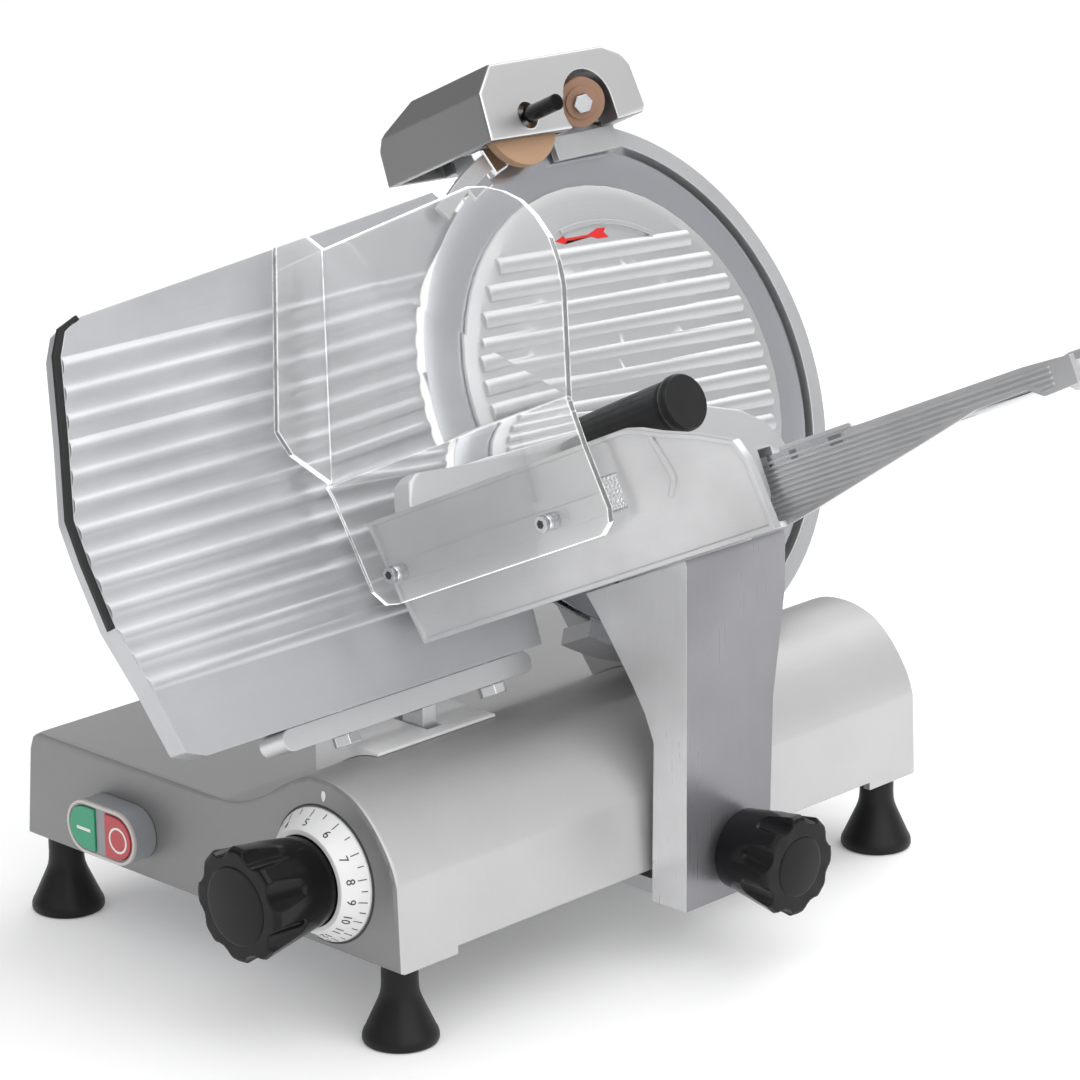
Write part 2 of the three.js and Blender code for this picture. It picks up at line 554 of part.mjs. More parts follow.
// Bottom plate under the left part, let into the shell
const plateInner = base.halfWidth - 2 * base.wall;
function bottomPlate() {
  const from = base.underside + gap;
  const plate = block(-plateInner, base.plateEdge, -endWall + gap, endWall - gap, from,
    from + base.plateThickness);
  const reliefs = footPlaces.map(([x, y]) => at(
    round(base.bossRadius + gap, base.underside - overrun, base.underside + base.bossHeight), x, y, 0));
  const louvres = [];
  for (let i = 0; i < base.louvreCount; i += 1) {
    const x = -base.louvreHalf + i * base.louvrePitch;
    louvres.push(block(x, x + base.louvreWidth, -base.louvreHalf, base.louvreHalf, base.underside - overrun,
      base.underside + 2 * base.plateThickness));
  }
  return cut(plate, ...reliefs, ...louvres);
}
add('bottom_plate', 'steel', bottomPlate());

// Feet
function rubberFoot(x, y) {
  const profile = scaled(footShares, foot.radius, foot.height);
  const studTop = foot.height + foot.studLength;
  profile.push([foot.studRadius, foot.height], [foot.studRadius, studTop], [0, studTop]);
  return at(turned(profile, midPitch), x, y, 0);
}
const footNames = ['foot_left_front', 'foot_left_rear', 'foot_right_front', 'foot_right_rear'];
footPlaces.forEach(([x, y], i) => add(footNames[i], 'rubber', rubberFoot(x, y)));

// Rails and slide block
add('rail_main', 'steel', frontTurned(round(rail.mainRadius, -endWall, endWall), railX, railZ));
add('rail_guide', 'steel', frontTurned(round(rail.guideRadius, -endWall, endWall), guideX, guideZ));
const [armFront, armBack] = [columnFront + arm.from, columnFront + arm.from + arm.length];
const pivotBore = (radius, spare) => frontTurned(
  round(radius, -pivotBack - spare, -pivotFront + spare), pivotX, pivotZ);
function slideBlock() {
  const [left, right] = [guideX - slide.beside, railX + slide.beyond];
  const [low, top, bottom] = [guideZ + slide.aboveGuide, railZ + slide.above, base.underside - slide.below];
  const middle = guideX + slide.step;
  const outline = [[left, bottom], [left, low], [middle, low], [middle + slide.rampWidth, top], [right,
    top],
    [right, bottom]];
  const body = frontForm(outline, columnFront + gap, columnBack);
  const riser = block(arm.left, right, armFront, armBack, column.foot, bottom + overrun);
  const reach = block(arm.left, pivotX, armFront, armBack, column.foot, arm.top);
  const trimmed = cut(reach,
    block(columnInner - base.wall, pivotX + overrun, armFront - overrun, pivotFront, 0, base.height),
    block(columnInner - base.wall, pivotX + overrun, pivotBack, armBack + overrun, 0, base.height));
  const knuckle = frontTurned(round(pivot.knuckle, -pivotBack, -pivotFront), pivotX, pivotZ);
  const railBores = railPlaces.map(([x, z, radius]) => frontTurned(
    round(radius + runningFit, -columnBack - overrun, -columnFront + overrun), x, z));
  return cut(join(body, riser, trimmed, knuckle), ...railBores, pivotBore(pivot.pinRadius + runningFit,
    overrun));
}
add('slide_block', 'cast', slideBlock());
add('tilt_pin', 'steel', pivotBore(pivot.pinRadius, pivot.pinSpare));

// Carriage column: one tapered arm that widens from the pivot up to the tray
const acrossX = (geometry) => geometry.rotateY(quarterTurn * Math.PI / halfTurn);
function carriageColumn() {
  const outline = spanned(columnShares, columnInner, columnOuter, column.foot, columnTop);
  const blank = frontForm(outline, columnFront, columnBack);
  const trim = sideForm(spanned(columnRearShares, columnFront, columnBack, column.foot, columnTop), 0,
    columnOuter + overrun);
  const slot = block(columnInner - overrun, pivotX + pivot.knuckle + gap, pivotFront - gap, pivotBack + gap,
    column.foot - overrun, pivotZ + pivot.knuckle + gap);
  const stud = at(acrossX(round(lock.shaftRadius + gap, 0, column.width * 2)), columnInner - overrun,
    lockY, lockZ);
  return cut(blank, trim, slot, pivotBore(pivot.pinRadius + gap, pivot.pinSpare + gap), stud);
}
add('carriage_column', 'anodised', carriageColumn());

// Knobs: a body that widens to its cap, with scooped flutes round the cap
function flutedKnob(size) {
  const end = size.knobLength;
  const body = turned([[0, 0], [size.knobNeck, 0], [size.knobNeck, size.knobSleeve],
    [size.knobRadius, end - size.knobRound], [size.knobRadius - size.knobRound / 3,
      end - size.knobRound / 3],
    [size.knobRadius - size.knobRound, end], [0, end]]);
  const scoop = size.fluteRadius / 2;
  const flutes = [];
  for (let i = 0; i < size.fluteCount; i += 1) {
    const flute = turned([[0, end - size.fluteLength], [scoop, end - size.fluteLength + scoop / 4],
      [size.fluteRadius, end - size.fluteLength + size.fluteRadius], [size.fluteRadius, end + overrun],
      [0, end + overrun]], coarsePitch);
    flutes.push(at(flute, size.knobRadius + size.fluteRadius - size.fluteDepth, 0, 0)
      .rotateZ((i + 1 / 2) * 2 * Math.PI / size.fluteCount));
  }
  const bore = round(size.shaftRadius + gap, -size.knobLength, size.knobLength / 2);
  return cut(body, ...flutes, bore);
}
const lockShank = () => tube(lock.shaftRadius + gap, lock.neck, 0, lock.neckLength + overrun, coarsePitch);
add('lock_knob', 'black', at(acrossX(join(at(flutedKnob(lock), 0, 0, lock.neckLength), lockShank())),
  columnOuter + gap, lockY, lockZ));
add('lock_stud', 'steel', at(acrossX(round(lock.shaftRadius, 0, column.width + lock.knobLength / 2)),
  columnInner, lockY, lockZ));

// Tray: near wall, floor and back wall in one piece, with the rod's bosses
const bossHalf = rod.bossRadius / 2;
const bossWeb = (from, to) => block(trayBack - tray.wall, rodX, rodY - bossHalf, rodY + bossHalf, from, to);
function nearWall() {
  const outline = scaled(nearWallShares, blade.radius);
  const sheet = trayForm(outline, trayFront, trayFront + tray.wall);
  const rim = cut(trayForm(outline, trayFront - tray.rimRise, trayFront + tray.wall / 2),
    trayForm(inset(outline, tray.rim), trayFront - tray.rimRise - overrun, trayFront + tray.wall));
  const [[fromOut, fromUp], [toOut, toUp]] = scaled(stripShares, blade.radius);
  const strip = trayForm([[fromOut, fromUp - tray.stripHalf], [toOut, toUp - tray.stripHalf],
    [toOut, toUp + tray.stripHalf], [fromOut, fromUp + tray.stripHalf]],
  trayFront - tray.rimRise, trayFront + tray.wall / 2);
  const ridge = trayForm(scaled(ridgeShares, blade.radius), trayFront - tray.ridgeRise,
    trayFront + tray.wall / 2);
  const square = trayForm(scaled(squareShares, blade.radius), trayFront - tray.wall,
    trayFront + tray.squareDepth);
  return cut(join(sheet, rim, strip, ridge), square);
}

function backWall() {
  const outline = scaled(backWallShares, blade.radius);
  const sheet = trayForm(outline, trayBack - tray.wall, trayBack);
  const ribs = [];
  for (let i = 0; i < tray.ribCount; i += 1) {
    const y = trayFloor + tray.floorWall + tray.ribPitch * (i + 1);
    ribs.push(block(trayBack - tray.wall - tray.ribRise, trayBack - tray.wall + overrun,
      y - tray.ribWidth / 2,
      y + tray.ribWidth / 2, rod.innerBoss + overrun, rodBoss));
  }
  const field = trayForm(inset(outline, tray.rim), trayBack - tray.wall * 3, trayBack - overrun);
  return join(sheet, meet(join(...ribs), field));
}

function traySheet() {
  const floor = slab(scaled(floorShares, blade.radius), 0, tray.floorWall)
    .applyMatrix4(alongMachine).translate(0, trayFloor + tray.floorWall, 0);
  const boss = at(round(rod.bossRadius, rodBoss, rodBoss + rod.bossLength), rodX, rodY, 0);
  const innerBoss = at(round(rod.bossRadius, rod.innerBoss, rod.innerBoss + bossHalf), rodX, rodY, 0);
  const bore = at(round(rod.radius + gap, 0, rodEnd + overrun), rodX, rodY, 0);
  return cut(join(nearWall(), floor, backWall(), bossWeb(rodBoss, rodBoss + rod.bossLength), boss,
    bossWeb(rod.innerBoss, rod.innerBoss + bossHalf), innerBoss), bore);
}
add('tray', 'anodised', inHead(traySheet()));
add('pusher_rod', 'chrome', inHead(at(round(rod.radius, rod.start, rodEnd), rodX, rodY, 0)));
add('rod_screw', 'chrome', inHead(at(round(rod.screwRadius, 0, rod.bossRadius).rotateX(Math.PI / 2), rodX,
  rodY - rod.bossRadius - gap, rodBoss + rod.bossLength / 2)));

// Guard: one bent clear sheet, standing off the near wall on two screws
const guardScrews = scaled(guardScrewShares, blade.radius);
const overBend = (geometry, up) => geometry.rotateZ(-guardLean).translate(guardX, guardBend, up);
function guardSheet() {
  const lower = trayForm(scaled(guardLowerShares, blade.radius), guardX - guard.wall, guardX);
  const upper = overBend(trayForm(scaled(guardUpperShares, blade.radius), -guard.wall, 0), 0);
  const flap = overBend(slab(scaled(guardFlapShares, -blade.radius, blade.radius), 0, guard.wall),
    guardUpperShares[0][0] * blade.radius);
  const holes = guardScrews.map(([out, up]) => at(
    acrossX(round(guard.screwRadius + gap, -blade.radius, blade.radius)), guardX, up, out));
  return cut(join(lower, upper, flap), ...holes);
}
add('guard', 'clear', inHead(guardSheet()));
const spacerEnd = guard.wall + guard.standOff - tray.rimRise - gap;
guardScrews.forEach(([out, up], i) => {
  const screw = turned([[0, -guard.headHeight], [guard.headRadius, -guard.headHeight], [guard.headRadius,
    -gap],
    [guard.screwRadius, -gap], [guard.screwRadius, guard.wall + gap], [guard.headRadius, guard.wall + gap],
    [guard.headRadius, spacerEnd], [0, spacerEnd]], coarsePitch);
  add(`guard_screw_${i + 1}`, 'chrome', inHead(at(acrossX(screw), guardX - guard.wall, up, out)));
});

// Pusher: toothed plate, neck and slider tube in one casting, with its handle
const bushBore = (pusher.bushRadius + runningFit) / Math.cos(Math.PI / coarsePitch);
const pusherBack = pusher.face - pusher.thickness;
function pusherArm() {
  const plate = slab(scaled(pusherShares, blade.radius), pusherBack, pusher.face, overrun);
  const sleeve = at(round(pusher.tubeRadius, pusher.tubeStart, pusher.tubeEnd), rodX, rodY, 0);
  const [[toothLeft, toothFoot], [toothRight, toothTop]] = scaled(toothShares, blade.radius);
  const teeth = [];
  for (let x = toothLeft; x < toothRight; x += pusher.toothPitch) {
    teeth.push(slab(rectangle(x, x + pusher.toothWidth, toothFoot, toothTop), pusherBack - pusher.toothRise,
      pusherBack + overrun));
  }
  return cut(join(plate, sleeve, ...teeth), at(round(bushBore, 0, rodEnd), rodX, rodY, 0));
}
add('pusher_arm', 'cast', inHead(pusherArm()));
add('pusher_bush', 'steel', inHead(at(tube(rod.radius + runningFit, pusher.bushRadius,
  pusher.tubeStart - overrun,
  pusher.tubeEnd + overrun, coarsePitch), rodX, rodY, 0)));
const [[handleX, handleY]] = scaled([handleShares], blade.radius);
add('pusher_handle', 'black', inHead(at(turned(scaled(handleProfileShares, handle.capRadius,
  handle.reach), midPitch),
  handleX, handleY, pusher.face + gap)));

// Blade, cover and drive
const bladeFront = blade.back + blade.thickness;
const bladeProfile = bladeProfileShares.map(([r, z]) => [r * blade.radius,
  blade.back + z * blade.thickness]);
add('blade', 'bladeSteel', inHead(turned([[blade.boreRadius, blade.back], ...bladeProfile,
  [blade.boreRadius, bladeFront]], 2 * finePitch)));

const coverTop = cover.seat + cover.crown;
function coverRibs() {
  const reach = coverRadius - cover.ribMargin;
  const ribs = [];
  for (let i = 0; i < cover.ribCount; i += 1) {
    const y = (coverRibShare - i * coverPitchShare) * coverRadius;
    const half = Math.sqrt(reach * reach - y * y);
    ribs.push(roundedRib(cover.ribWidth, cover.ribRise, -half, half, y, coverTop - cover.ribRise / 2,
      cover.ribRise / 2));
  }
  return ribs.map((rib) => rib.rotateZ(-THREE.MathUtils.degToRad(cover.ribTiltDegrees)));
}

function bladeCover() {
  const profile = coverProfileShares.map(([r, z]) => [r * coverRadius, cover.seat + z * cover.crown]);
  const disc = turned([...profile, [coverRadius, cover.seat], [0, cover.seat]], 2 * midPitch);
  const arcRadius = coverRadius * coverArcShare;
  const arc = slab([...arcPoints(arcRadius, cover.arcFromDegrees, cover.arcToDegrees, coarsePitch),
    ...arcPoints(arcRadius - cover.arcWidth, cover.arcToDegrees, cover.arcFromDegrees, coarsePitch)],
  cover.seat + cover.rim, coverTop);
  const bore = round(shaft.boltRadius + runningFit, cover.seat - overrun, cover.seat + cover.crown / 2);
  return cut(join(disc, ...coverRibs(), arc), bore);
}
add('blade_cover', 'cast', inHead(bladeCover()));

// Blade head: belt housing, web plate and ring guard in one casting, standing on the hump
const clearBack = bladeFront + 2 * gap;
const padTop = ringInner + overrun;
const towerBack = ring.back - sharpener.towerDepth;
const towerTop = seatTop - base.wall;
const [ringFrom, ringTo] = [ring.lipFromDegrees, ring.toDegrees - fullTurn];
function ringGuard() {
  const band = (from, to, steps, back) => slab([...arcPoints(ringOuter, from, to, steps),
    ...arcPoints(ringInner, to, from, steps)], back, ring.front);
  const thin = band(ring.thinFromDegrees, ringFrom - ring.overlapDegrees, coarsePitch, ring.lipBack);
  const web = slab([...arcPoints(ringOuter - overrun / 2, ring.webFromDegrees, ring.webToDegrees,
    finePitch), [0, 0]],
    ring.back, ring.plateFront);
  return [band(ringFrom, ringTo, 2 * finePitch, ring.back), thin, web];
}

function headCasting() {
  const topWeb = slab(rectangle(-sharpener.seatHalf, sharpener.seatHalf, 0, towerTop), ring.back,
    ring.plateFront);
  const tower = slab(rectangle(-sharpener.seatHalf, sharpener.seatHalf, ringInner - 3 * housing.wall,
    towerTop),
    towerBack, ring.back + overrun);
  const drum = round(housing.radius, housing.back, housing.front, finePitch);
  const hub = round(housing.hubRadius, housing.hubBack, housing.back + overrun);
  const pedestal = slab(scaled(pedestalShares, driveDrop), housing.back, ring.back);
  const nose = slab(rectangle(pad.left, pad.right, padTop - pad.below, padTop), clearBack,
    ring.front + pad.rise);
  const solid = join(drum, topWeb, tower, hub, pedestal, nose, ...ringGuard());
  const bearingBore = (from, to) => round(bearing.radius + runningFit, from, to, finePitch);
  const bladeRoom = slab([...arcPoints(ringInner, ring.thinFromDegrees, ringTo, 2 * finePitch), [0, 0]],
    ring.plateFront, clearBack);
  const bores = [
    round(housing.radius - housing.wall, housing.back + housing.wall, housing.front + overrun, finePitch),
    round(bearing.radius - base.wall, housing.hubBack - overrun, housing.back + 2 * housing.wall),
    bearingBore(housing.hubBack - overrun, housing.hubBack + bearing.width + overrun),
    bearingBore(housing.back - bearing.width, housing.back + housing.wall + overrun),
    channel(),
    postForm(runningFit, 0),
    bladeRoom,
  ];
  return cut(inHead(cut(solid, ...bores)), baseRelief());
}
const postPlace = ring.back - sharpener.seatHalf;
function postForm(spare, shift) {
  return at(round(sharpener.postRadius + spare, 0,
    sharpener.postLength + 2 * overrun).rotateX(-Math.PI / 2), 0,
    towerTop - sharpener.postLength + shift, postPlace);
}
add('blade_head', 'anodised', headCasting());

const flangeFront = blade.back - runningFit;
const [shaftBore, shaftEnd] = [shaft.boltRadius + gap / 2, cover.seat - 2 * gap];
add('blade_shaft', 'steel', inHead(turned([[shaftBore, housing.hubBack], [shaft.radius, housing.hubBack],
  [shaft.radius, flangeFront - shaft.flangeThickness], [shaft.flangeRadius,
    flangeFront - shaft.flangeThickness],
  [shaft.flangeRadius, flangeFront], [blade.boreRadius - runningFit, flangeFront],
  [blade.boreRadius - runningFit, shaftEnd], [shaftBore, shaftEnd]])));
const bearings = [['bearing_rear', housing.hubBack], ['bearing_front',
  housing.back - bearing.width + overrun]];
for (const [name, from] of bearings) {
  add(name, 'chrome', inHead(tube(shaft.radius + runningFit, bearing.radius, from + gap,
    from + bearing.width)));
}
function pulley(radius, bore) {
  const half = drive.beltWidth / 2;
  const edge = half + drive.flange - gap;
  const lip = radius + drive.flange / 2;
  return at(turned([[bore, -edge], [lip, -edge], [lip, -half - gap], [radius, -half], [radius, half],
    [lip, half + gap], [lip, edge], [bore, edge]], midPitch), 0, 0, drive.beltPlane);
}
add('blade_pulley', 'cast', inHead(pulley(drive.bigRadius, shaft.radius + runningFit)));
add('motor_pulley', 'steel', inHead(at(pulley(drive.smallRadius, drive.spindleRadius + runningFit), 0,
  -driveDrop, 0)));

// Drive belt: a closed band over both pulleys
function driveBelt() {
  const hold = THREE.MathUtils.radToDeg(Math.acos((drive.bigRadius - drive.smallRadius) / driveDrop));
  const loop = (spare) => [
    ...arcPoints(drive.bigRadius + spare, hold - quarterTurn, quarterTurn + halfTurn - hold, coarsePitch),
    ...arcPoints(drive.smallRadius + spare, quarterTurn + halfTurn - hold, quarterTurn + halfTurn + hold,
      coarsePitch / 2, 0, -driveDrop),
  ];
  return slab(loop(drive.beltThickness + gap), beltBack + gap, beltFront - gap, 0, [loop(gap).reverse()]);
}
add('drive_belt', 'rubber', inHead(driveBelt()));

const motorFront = webBack - gap;
const motorBack = motorFront - drive.motorLength;
add('motor', 'copperBrown', inHead(at(turned([[0, motorBack], [drive.motorNeck, motorBack],
  [drive.motorNeck, motorBack + drive.flange * 2], [drive.motorRadius, motorBack + drive.flange * 3],
  [drive.motorRadius, motorFront], [0, motorFront]], midPitch), 0, -driveDrop, 0)));
add('motor_spindle', 'steel', inHead(at(round(drive.spindleRadius, webBack - gap / 2,
  beltFront + drive.flange), 0,
  -driveDrop, 0)));

// Cover tie bolt with its knob behind the hub
add('tie_bolt', 'steel', inHead(round(shaft.boltRadius, shaft.back - overrun,
  cover.seat + cover.crown / 2 - gap)));
add('tie_knob', 'black', inHead(at(cut(
  slab(lobed(tieKnob.radius, tieKnob.lobe, tieKnob.lobeCount, coarsePitch / 4), -tieKnob.thickness, 0,
    overrun),
  round(shaft.boltRadius + gap, -tieKnob.socket, overrun),
), 0, 0, housing.hubBack - gap)));

// Slice deflector behind the blade's lower left
add('slice_deflector', 'steel', inHead(slab(scaled(deflectorShares, blade.radius), housing.front + gap,
  housing.front + gap + overrun)));

// Gauge plate with its bar, bolts, trim and carrier
const gaugeOutline = [...scaled(gaugeShares, blade.radius),
  ...arcPoints(blade.radius + gauge.bladeClear, gauge.arcFromDegrees, gauge.arcToDegrees, gauge.arcPitch),
  ...scaled(gaugeLeftShares, blade.radius)];
const [barLeft, barRight] = gaugeBarShares.map((share) => share * blade.radius);
const boltPlaces = boltShares.map((share) => share * blade.radius);
const barMiddle = (gaugeBar.back + gaugeBar.front) / 2;
const [gaugeField, gaugeRear] = [gauge.face - gauge.ribRise, gauge.face - gauge.ribRise - gauge.depth];
const upward = (geometry, x, y) => at(geometry.rotateX(-Math.PI / 2), x, y, barMiddle);
function gaugePlate() {
  const body = slab(gaugeOutline, gaugeRear, gaugeField);
  const pocket = slab(inset(gaugeOutline, gauge.edgeWall), gaugeRear - overrun, gaugeField - gauge.skin);
  const ribs = [];
  for (let i = 0; i < gauge.ribCount; i += 1) {
    const y = (firstRibShare - i * ribPitchShare) * blade.radius;
    ribs.push(roundedRib(gauge.ribWidth, gauge.ribRise, -blade.radius * 3, 0, y, gaugeField));
  }
  const kept = slab(inset(gaugeOutline, gap), gaugeField - overrun, gauge.face + overrun);
  const flange = slab(rectangle(barLeft, barRight, gaugeBottom, gaugeBottom + gauge.edgeWall),
    gaugeBar.back,
    gaugeRear + overrun);
  const drills = boltPlaces.map((x) => upward(
    round(gaugeBolt.radius + runningFit, -overrun, gauge.edgeWall + overrun), x, gaugeBottom));
  return cut(join(cut(body, pocket), meet(join(...ribs), kept), flange), ...drills);
}
add('gauge_plate', 'anodised', inHead(gaugePlate()));
const trimEdge = (spare) => {
  const points = inset(gaugeOutline, -spare);
  return [...points.slice(-gauge.trimPointCount), points[0]];
};
add('gauge_edge_trim', 'black', inHead(slab([...trimEdge(gap), ...trimEdge(gap + gauge.trim).reverse()],
  gauge.face - gauge.depth, gaugeField)));

const barTop = gaugeBottom - gap;
const barBottom = barTop - gaugeBar.thickness;
const barRadius = gaugeBar.thickness / 2;
const barOutline = [
  ...arcPoints(barRadius, quarterTurn, quarterTurn + halfTurn, coarsePitch / 2, barLeft + barRadius,
    barTop - barRadius),
  ...arcPoints(barRadius, -quarterTurn, quarterTurn, coarsePitch / 2, barRight - barRadius,
    barTop - barRadius),
];
add('gauge_bar', 'cast', inHead(cut(slab(barOutline, gaugeBar.back, gaugeBar.front),
  ...boltPlaces.map((x) => upward(
  round(gaugeBolt.radius + runningFit, -overrun, gaugeBar.thickness + overrun), x, barBottom)))));
boltPlaces.forEach((x, i) => {
  const head = slab(circle(gaugeBolt.headRadius, gaugeBolt.sideCount), -gaugeBolt.headHeight, 0);
  const shank = round(gaugeBolt.radius, -overrun, gaugeBolt.reach);
  add(`gauge_bolt_${i + 1}`, 'chrome', inHead(upward(join(head, shank), x, barBottom - gap)));
});

// Gauge carrier on its two inner rods, with the post up to the bar and the pin into the cam
const barUnderside = inHead(block(-blade.radius * 3, 0, barBottom - gap, 0, -blade.radius, 0));
const [pinX, pinZ] = [dialX - dial.nearRadius * Math.cos(lean), dialZ - dial.nearRadius * Math.sin(lean)];
const roof = base.height + collar.rise;
function gaugeCarrier() {
  const body = inHead(slab(rectangle(carrierLeft, carrierRight, carrierBottom, carrierTop), carrier.back,
    carrier.front));
  const upright = cut(block(postX - post.width / 2, postX + post.width / 2, postY - post.depth / 2,
    postY + post.depth / 2, (base.height + base.underside) / 2 + base.wall * 2,
      roof + 2 * gaugeBar.thickness),
  barUnderside);
  const tongueHalf = dial.pinRadius * 2;
  const tongue = block(pinX - tongueHalf, pinX + tongueHalf, camBack + overrun,
    carrierLeft + bladeY + 2 * overrun,
    pinZ - tongueHalf, pinZ + carrier.thickness + dial.pinRadius);
  const pin = frontTurned(round(dial.pinRadius, -camBack - overrun * 2,
    -camBack + dial.camThickness - overrun * 2),
    pinX, pinZ);
  const bores = rodPlaces.map((x) => inHead(gaugeRod(x, carrier.rodRadius + runningFit, -overrun)));
  return cut(join(body, upright, tongue, pin), ...bores);
}
add('gauge_carrier', 'cast', gaugeCarrier());
rodPlaces.forEach((x, i) => add(`gauge_rod_${i + 1}`, 'steel', inHead(gaugeRod(x, carrier.rodRadius,
  gap))));

// Collar round the post on the base
add('post_collar', 'white', cut(
  slab(rectangle(postX - collar.before, postX + collar.after, postY - collar.front, postY + collar.back),
    roof - collar.depth, roof, collar.taper),
  baseRelief(),
  postSlot(base.underside, base.height * 2, gap * 2),
));

// Thickness dial: ring, knob, shaft and scroll cam
const dialFace = base.halfLength + gap;
const dialBore = dial.knobNeck + 2 * gap;
add('dial_ring', 'white', frontTurned(turned([[dialBore, dialFace], [dial.ringRadius, dialFace],
  [dial.ringRadius, dialFace + dial.ringLip], [dial.ringNeck, dialFace + dial.ringDepth],
  [dialBore, dialFace + dial.ringDepth]], 2 * midPitch), dialX, dialZ));
add('dial_knob', 'black', frontTurned(at(flutedKnob(dial), 0, 0, dialFace), dialX, dialZ));
add('dial_shaft', 'steel', frontTurned(round(dial.shaftRadius, -camBack + dial.camThickness + gap,
  dialFace + dial.knobLength / 2 - gap), dialX, dialZ));
function scrollCam() {
  const [from, to] = [-travel.close - dial.nearEnd, travel.open + dial.farEnd];
  const steps = 2 * midPitch;
  const spiral = (side) => {
    const points = [];
    for (let i = 0; i <= steps; i += 1) {
      const shift = from + (to - from) * i / steps;
      const angle = Math.PI + lean + shift / dial.turnTravel * 2 * Math.PI;
      const reach = dial.nearRadius + shift + side * dial.grooveWidth / 2;
      points.push([reach * Math.cos(angle), reach * Math.sin(angle)]);
    }
    return points;
  };
  const groove = slab([...spiral(1), ...spiral(-1).reverse()], -overrun, dial.camThickness - overrun * 2);
  return frontTurned(at(cut(round(dial.camRadius, 0, dial.camThickness, finePitch), groove), 0, 0,
    -camBack),
    dialX, dialZ);
}
add('scroll_cam', 'cast', scrollCam());

// Power switch: a raised surround with two half buttons and a bar between them
const powerFront = -dialFace - power.proud;
const powerOutline = (margin) => stadium(power.width - 2 * margin, power.height - 2 * margin, powerPitch,
  powerX,
  powerZ);
function powerSurround() {
  const shell = frontForm(powerOutline(0), powerFront, -dialFace, 0, [powerOutline(power.rim)]);
  const bar = block(powerX - power.bar / 2, powerX + power.bar / 2, powerFront, -dialFace,
    powerZ - power.height / 2 + power.rim / 2, powerZ + power.height / 2 - power.rim / 2);
  return join(shell, bar);
}
add('switch_surround', 'white', powerSurround());
for (const [name, side, finish] of [['button_on', -1, 'green'], ['button_off', 1, 'red']]) {
  const body = frontForm(powerOutline(power.rim + gap), powerFront - power.buttonProud,
    -dialFace - power.travel - gap);
  const edges = [side * (power.bar / 2 + gap), side * power.width].sort((a, b) => a - b);
  const keep = block(powerX + edges[0], powerX + edges[1], -base.halfLength * 2, 0, 0, base.height);
  add(name, finish, meet(body, keep));
}

// Sharpener: a hood with two stones, on a lifting post
const stoneRoom = (radius, x, y, from, to) => slab([...arcPoints(radius, 0, halfTurn, coarsePitch, x, y),
  [x - radius, 0], [x + radius, 0]], from, to);
const honeTilt = new THREE.Matrix4().makeRotationY(THREE.MathUtils.degToRad(stone.honeTurnDegrees))
  .multiply(new THREE.Matrix4().makeRotationX(THREE.MathUtils.degToRad(stone.honeTipDegrees)));
const atHone = (geometry) => at(geometry.applyMatrix4(honeTilt), honeX, honeY, stone.honeOut);
const honeHalf = stone.honeThickness / 2;
const honeFoot = -honeHalf - stone.spare - stone.seat;
const grindFront = stone.grindFace + stone.grindThickness;
const grindFoot = sharpener.hollowBack - stone.seat;
const hoodInner = sharpener.front - sharpener.wall;
function sharpenerHood() {
  const body = slab(inHood(sharpenerShares), sharpener.back, sharpener.front, overrun);
  const rear = trayForm(inHood(sharpenerRearShares), -sharpener.span, sharpener.span);
  const clearRing = slab(circle(ringOuter + 2 * gap, 2 * midPitch), ring.back - 2 * gap,
    ring.front + pad.rise + 2 * gap);
  const seatClear = sharpener.seatHalf + 2 * gap;
  const clearTower = slab(rectangle(-seatClear, seatClear, 0, towerTop + gap), towerBack - 2 * gap,
    ring.plateFront + 2 * gap);
  const roomTop = seatTop + sharpener.roomRise;
  const [rearFrom, rearTo] = [sharpener.back + sharpener.wall, sharpener.webBack];
  const rooms = [
    slab(rectangle(-sharpener.roomLeft, -seatClear, 0, roomTop), rearFrom, rearTo),
    slab(rectangle(seatClear, sharpener.roomRight, 0, roomTop), rearFrom, rearTo),
    stoneRoom(stone.grindRadius + stone.spare, grindX, grindY, sharpener.hollowBack, hoodInner),
    stoneRoom(sharpener.archRadius, archX, archY, sharpener.hollowBack, 2 * sharpener.front),
    atHone(round(stone.honeRadius + stone.spare, -honeHalf - stone.spare, stone.roomDepth)),
    slab(oval(sharpener.windowWidth, sharpener.windowHeight, midPitch, grindX, grindY), 0,
      2 * sharpener.front),
    atHone(round(stone.spindle + runningFit, honeFoot - gap, 0)),
    at(round(stone.spindle + runningFit, grindFoot - button.travel - gap, sharpener.front), grindX,
      grindY, 0),
  ];
  return join(cut(body, rear, clearRing, clearTower, ...rooms), postForm(0, gap));
}
add('sharpener_body', 'anodised', inHead(sharpenerHood()));
add('stone_grinding', 'stoneTan', inHead(at(tube(stone.spindle + gap, stone.grindRadius, stone.grindFace,
  grindFront),
  grindX, grindY, 0)));
const hubRise = stone.spare;
const honeProfile = [[stone.spindle + gap, -honeHalf], [stone.honeRadius, -honeHalf], [stone.honeRadius,
  honeHalf],
  [stone.honeRadius * 2 / 3, honeHalf], [stone.honeRadius * 2 / 3, honeHalf + hubRise],
  [stone.spindle + gap, honeHalf + hubRise]];
add('stone_honing', 'stoneBrown', inHead(atHone(turned(honeProfile, midPitch))));
const headed = (from, face) => join(round(stone.spindle, from, face + gap + stone.headHeight / 2),
  slab(circle(stone.spindleHead, stone.sideCount), face + gap, face + gap + stone.headHeight));
add('spindle_grinding', 'chrome', inHead(at(headed(grindFoot, grindFront), grindX, grindY, 0)));
add('spindle_honing', 'chrome', inHead(atHone(headed(honeFoot, honeHalf + hubRise))));

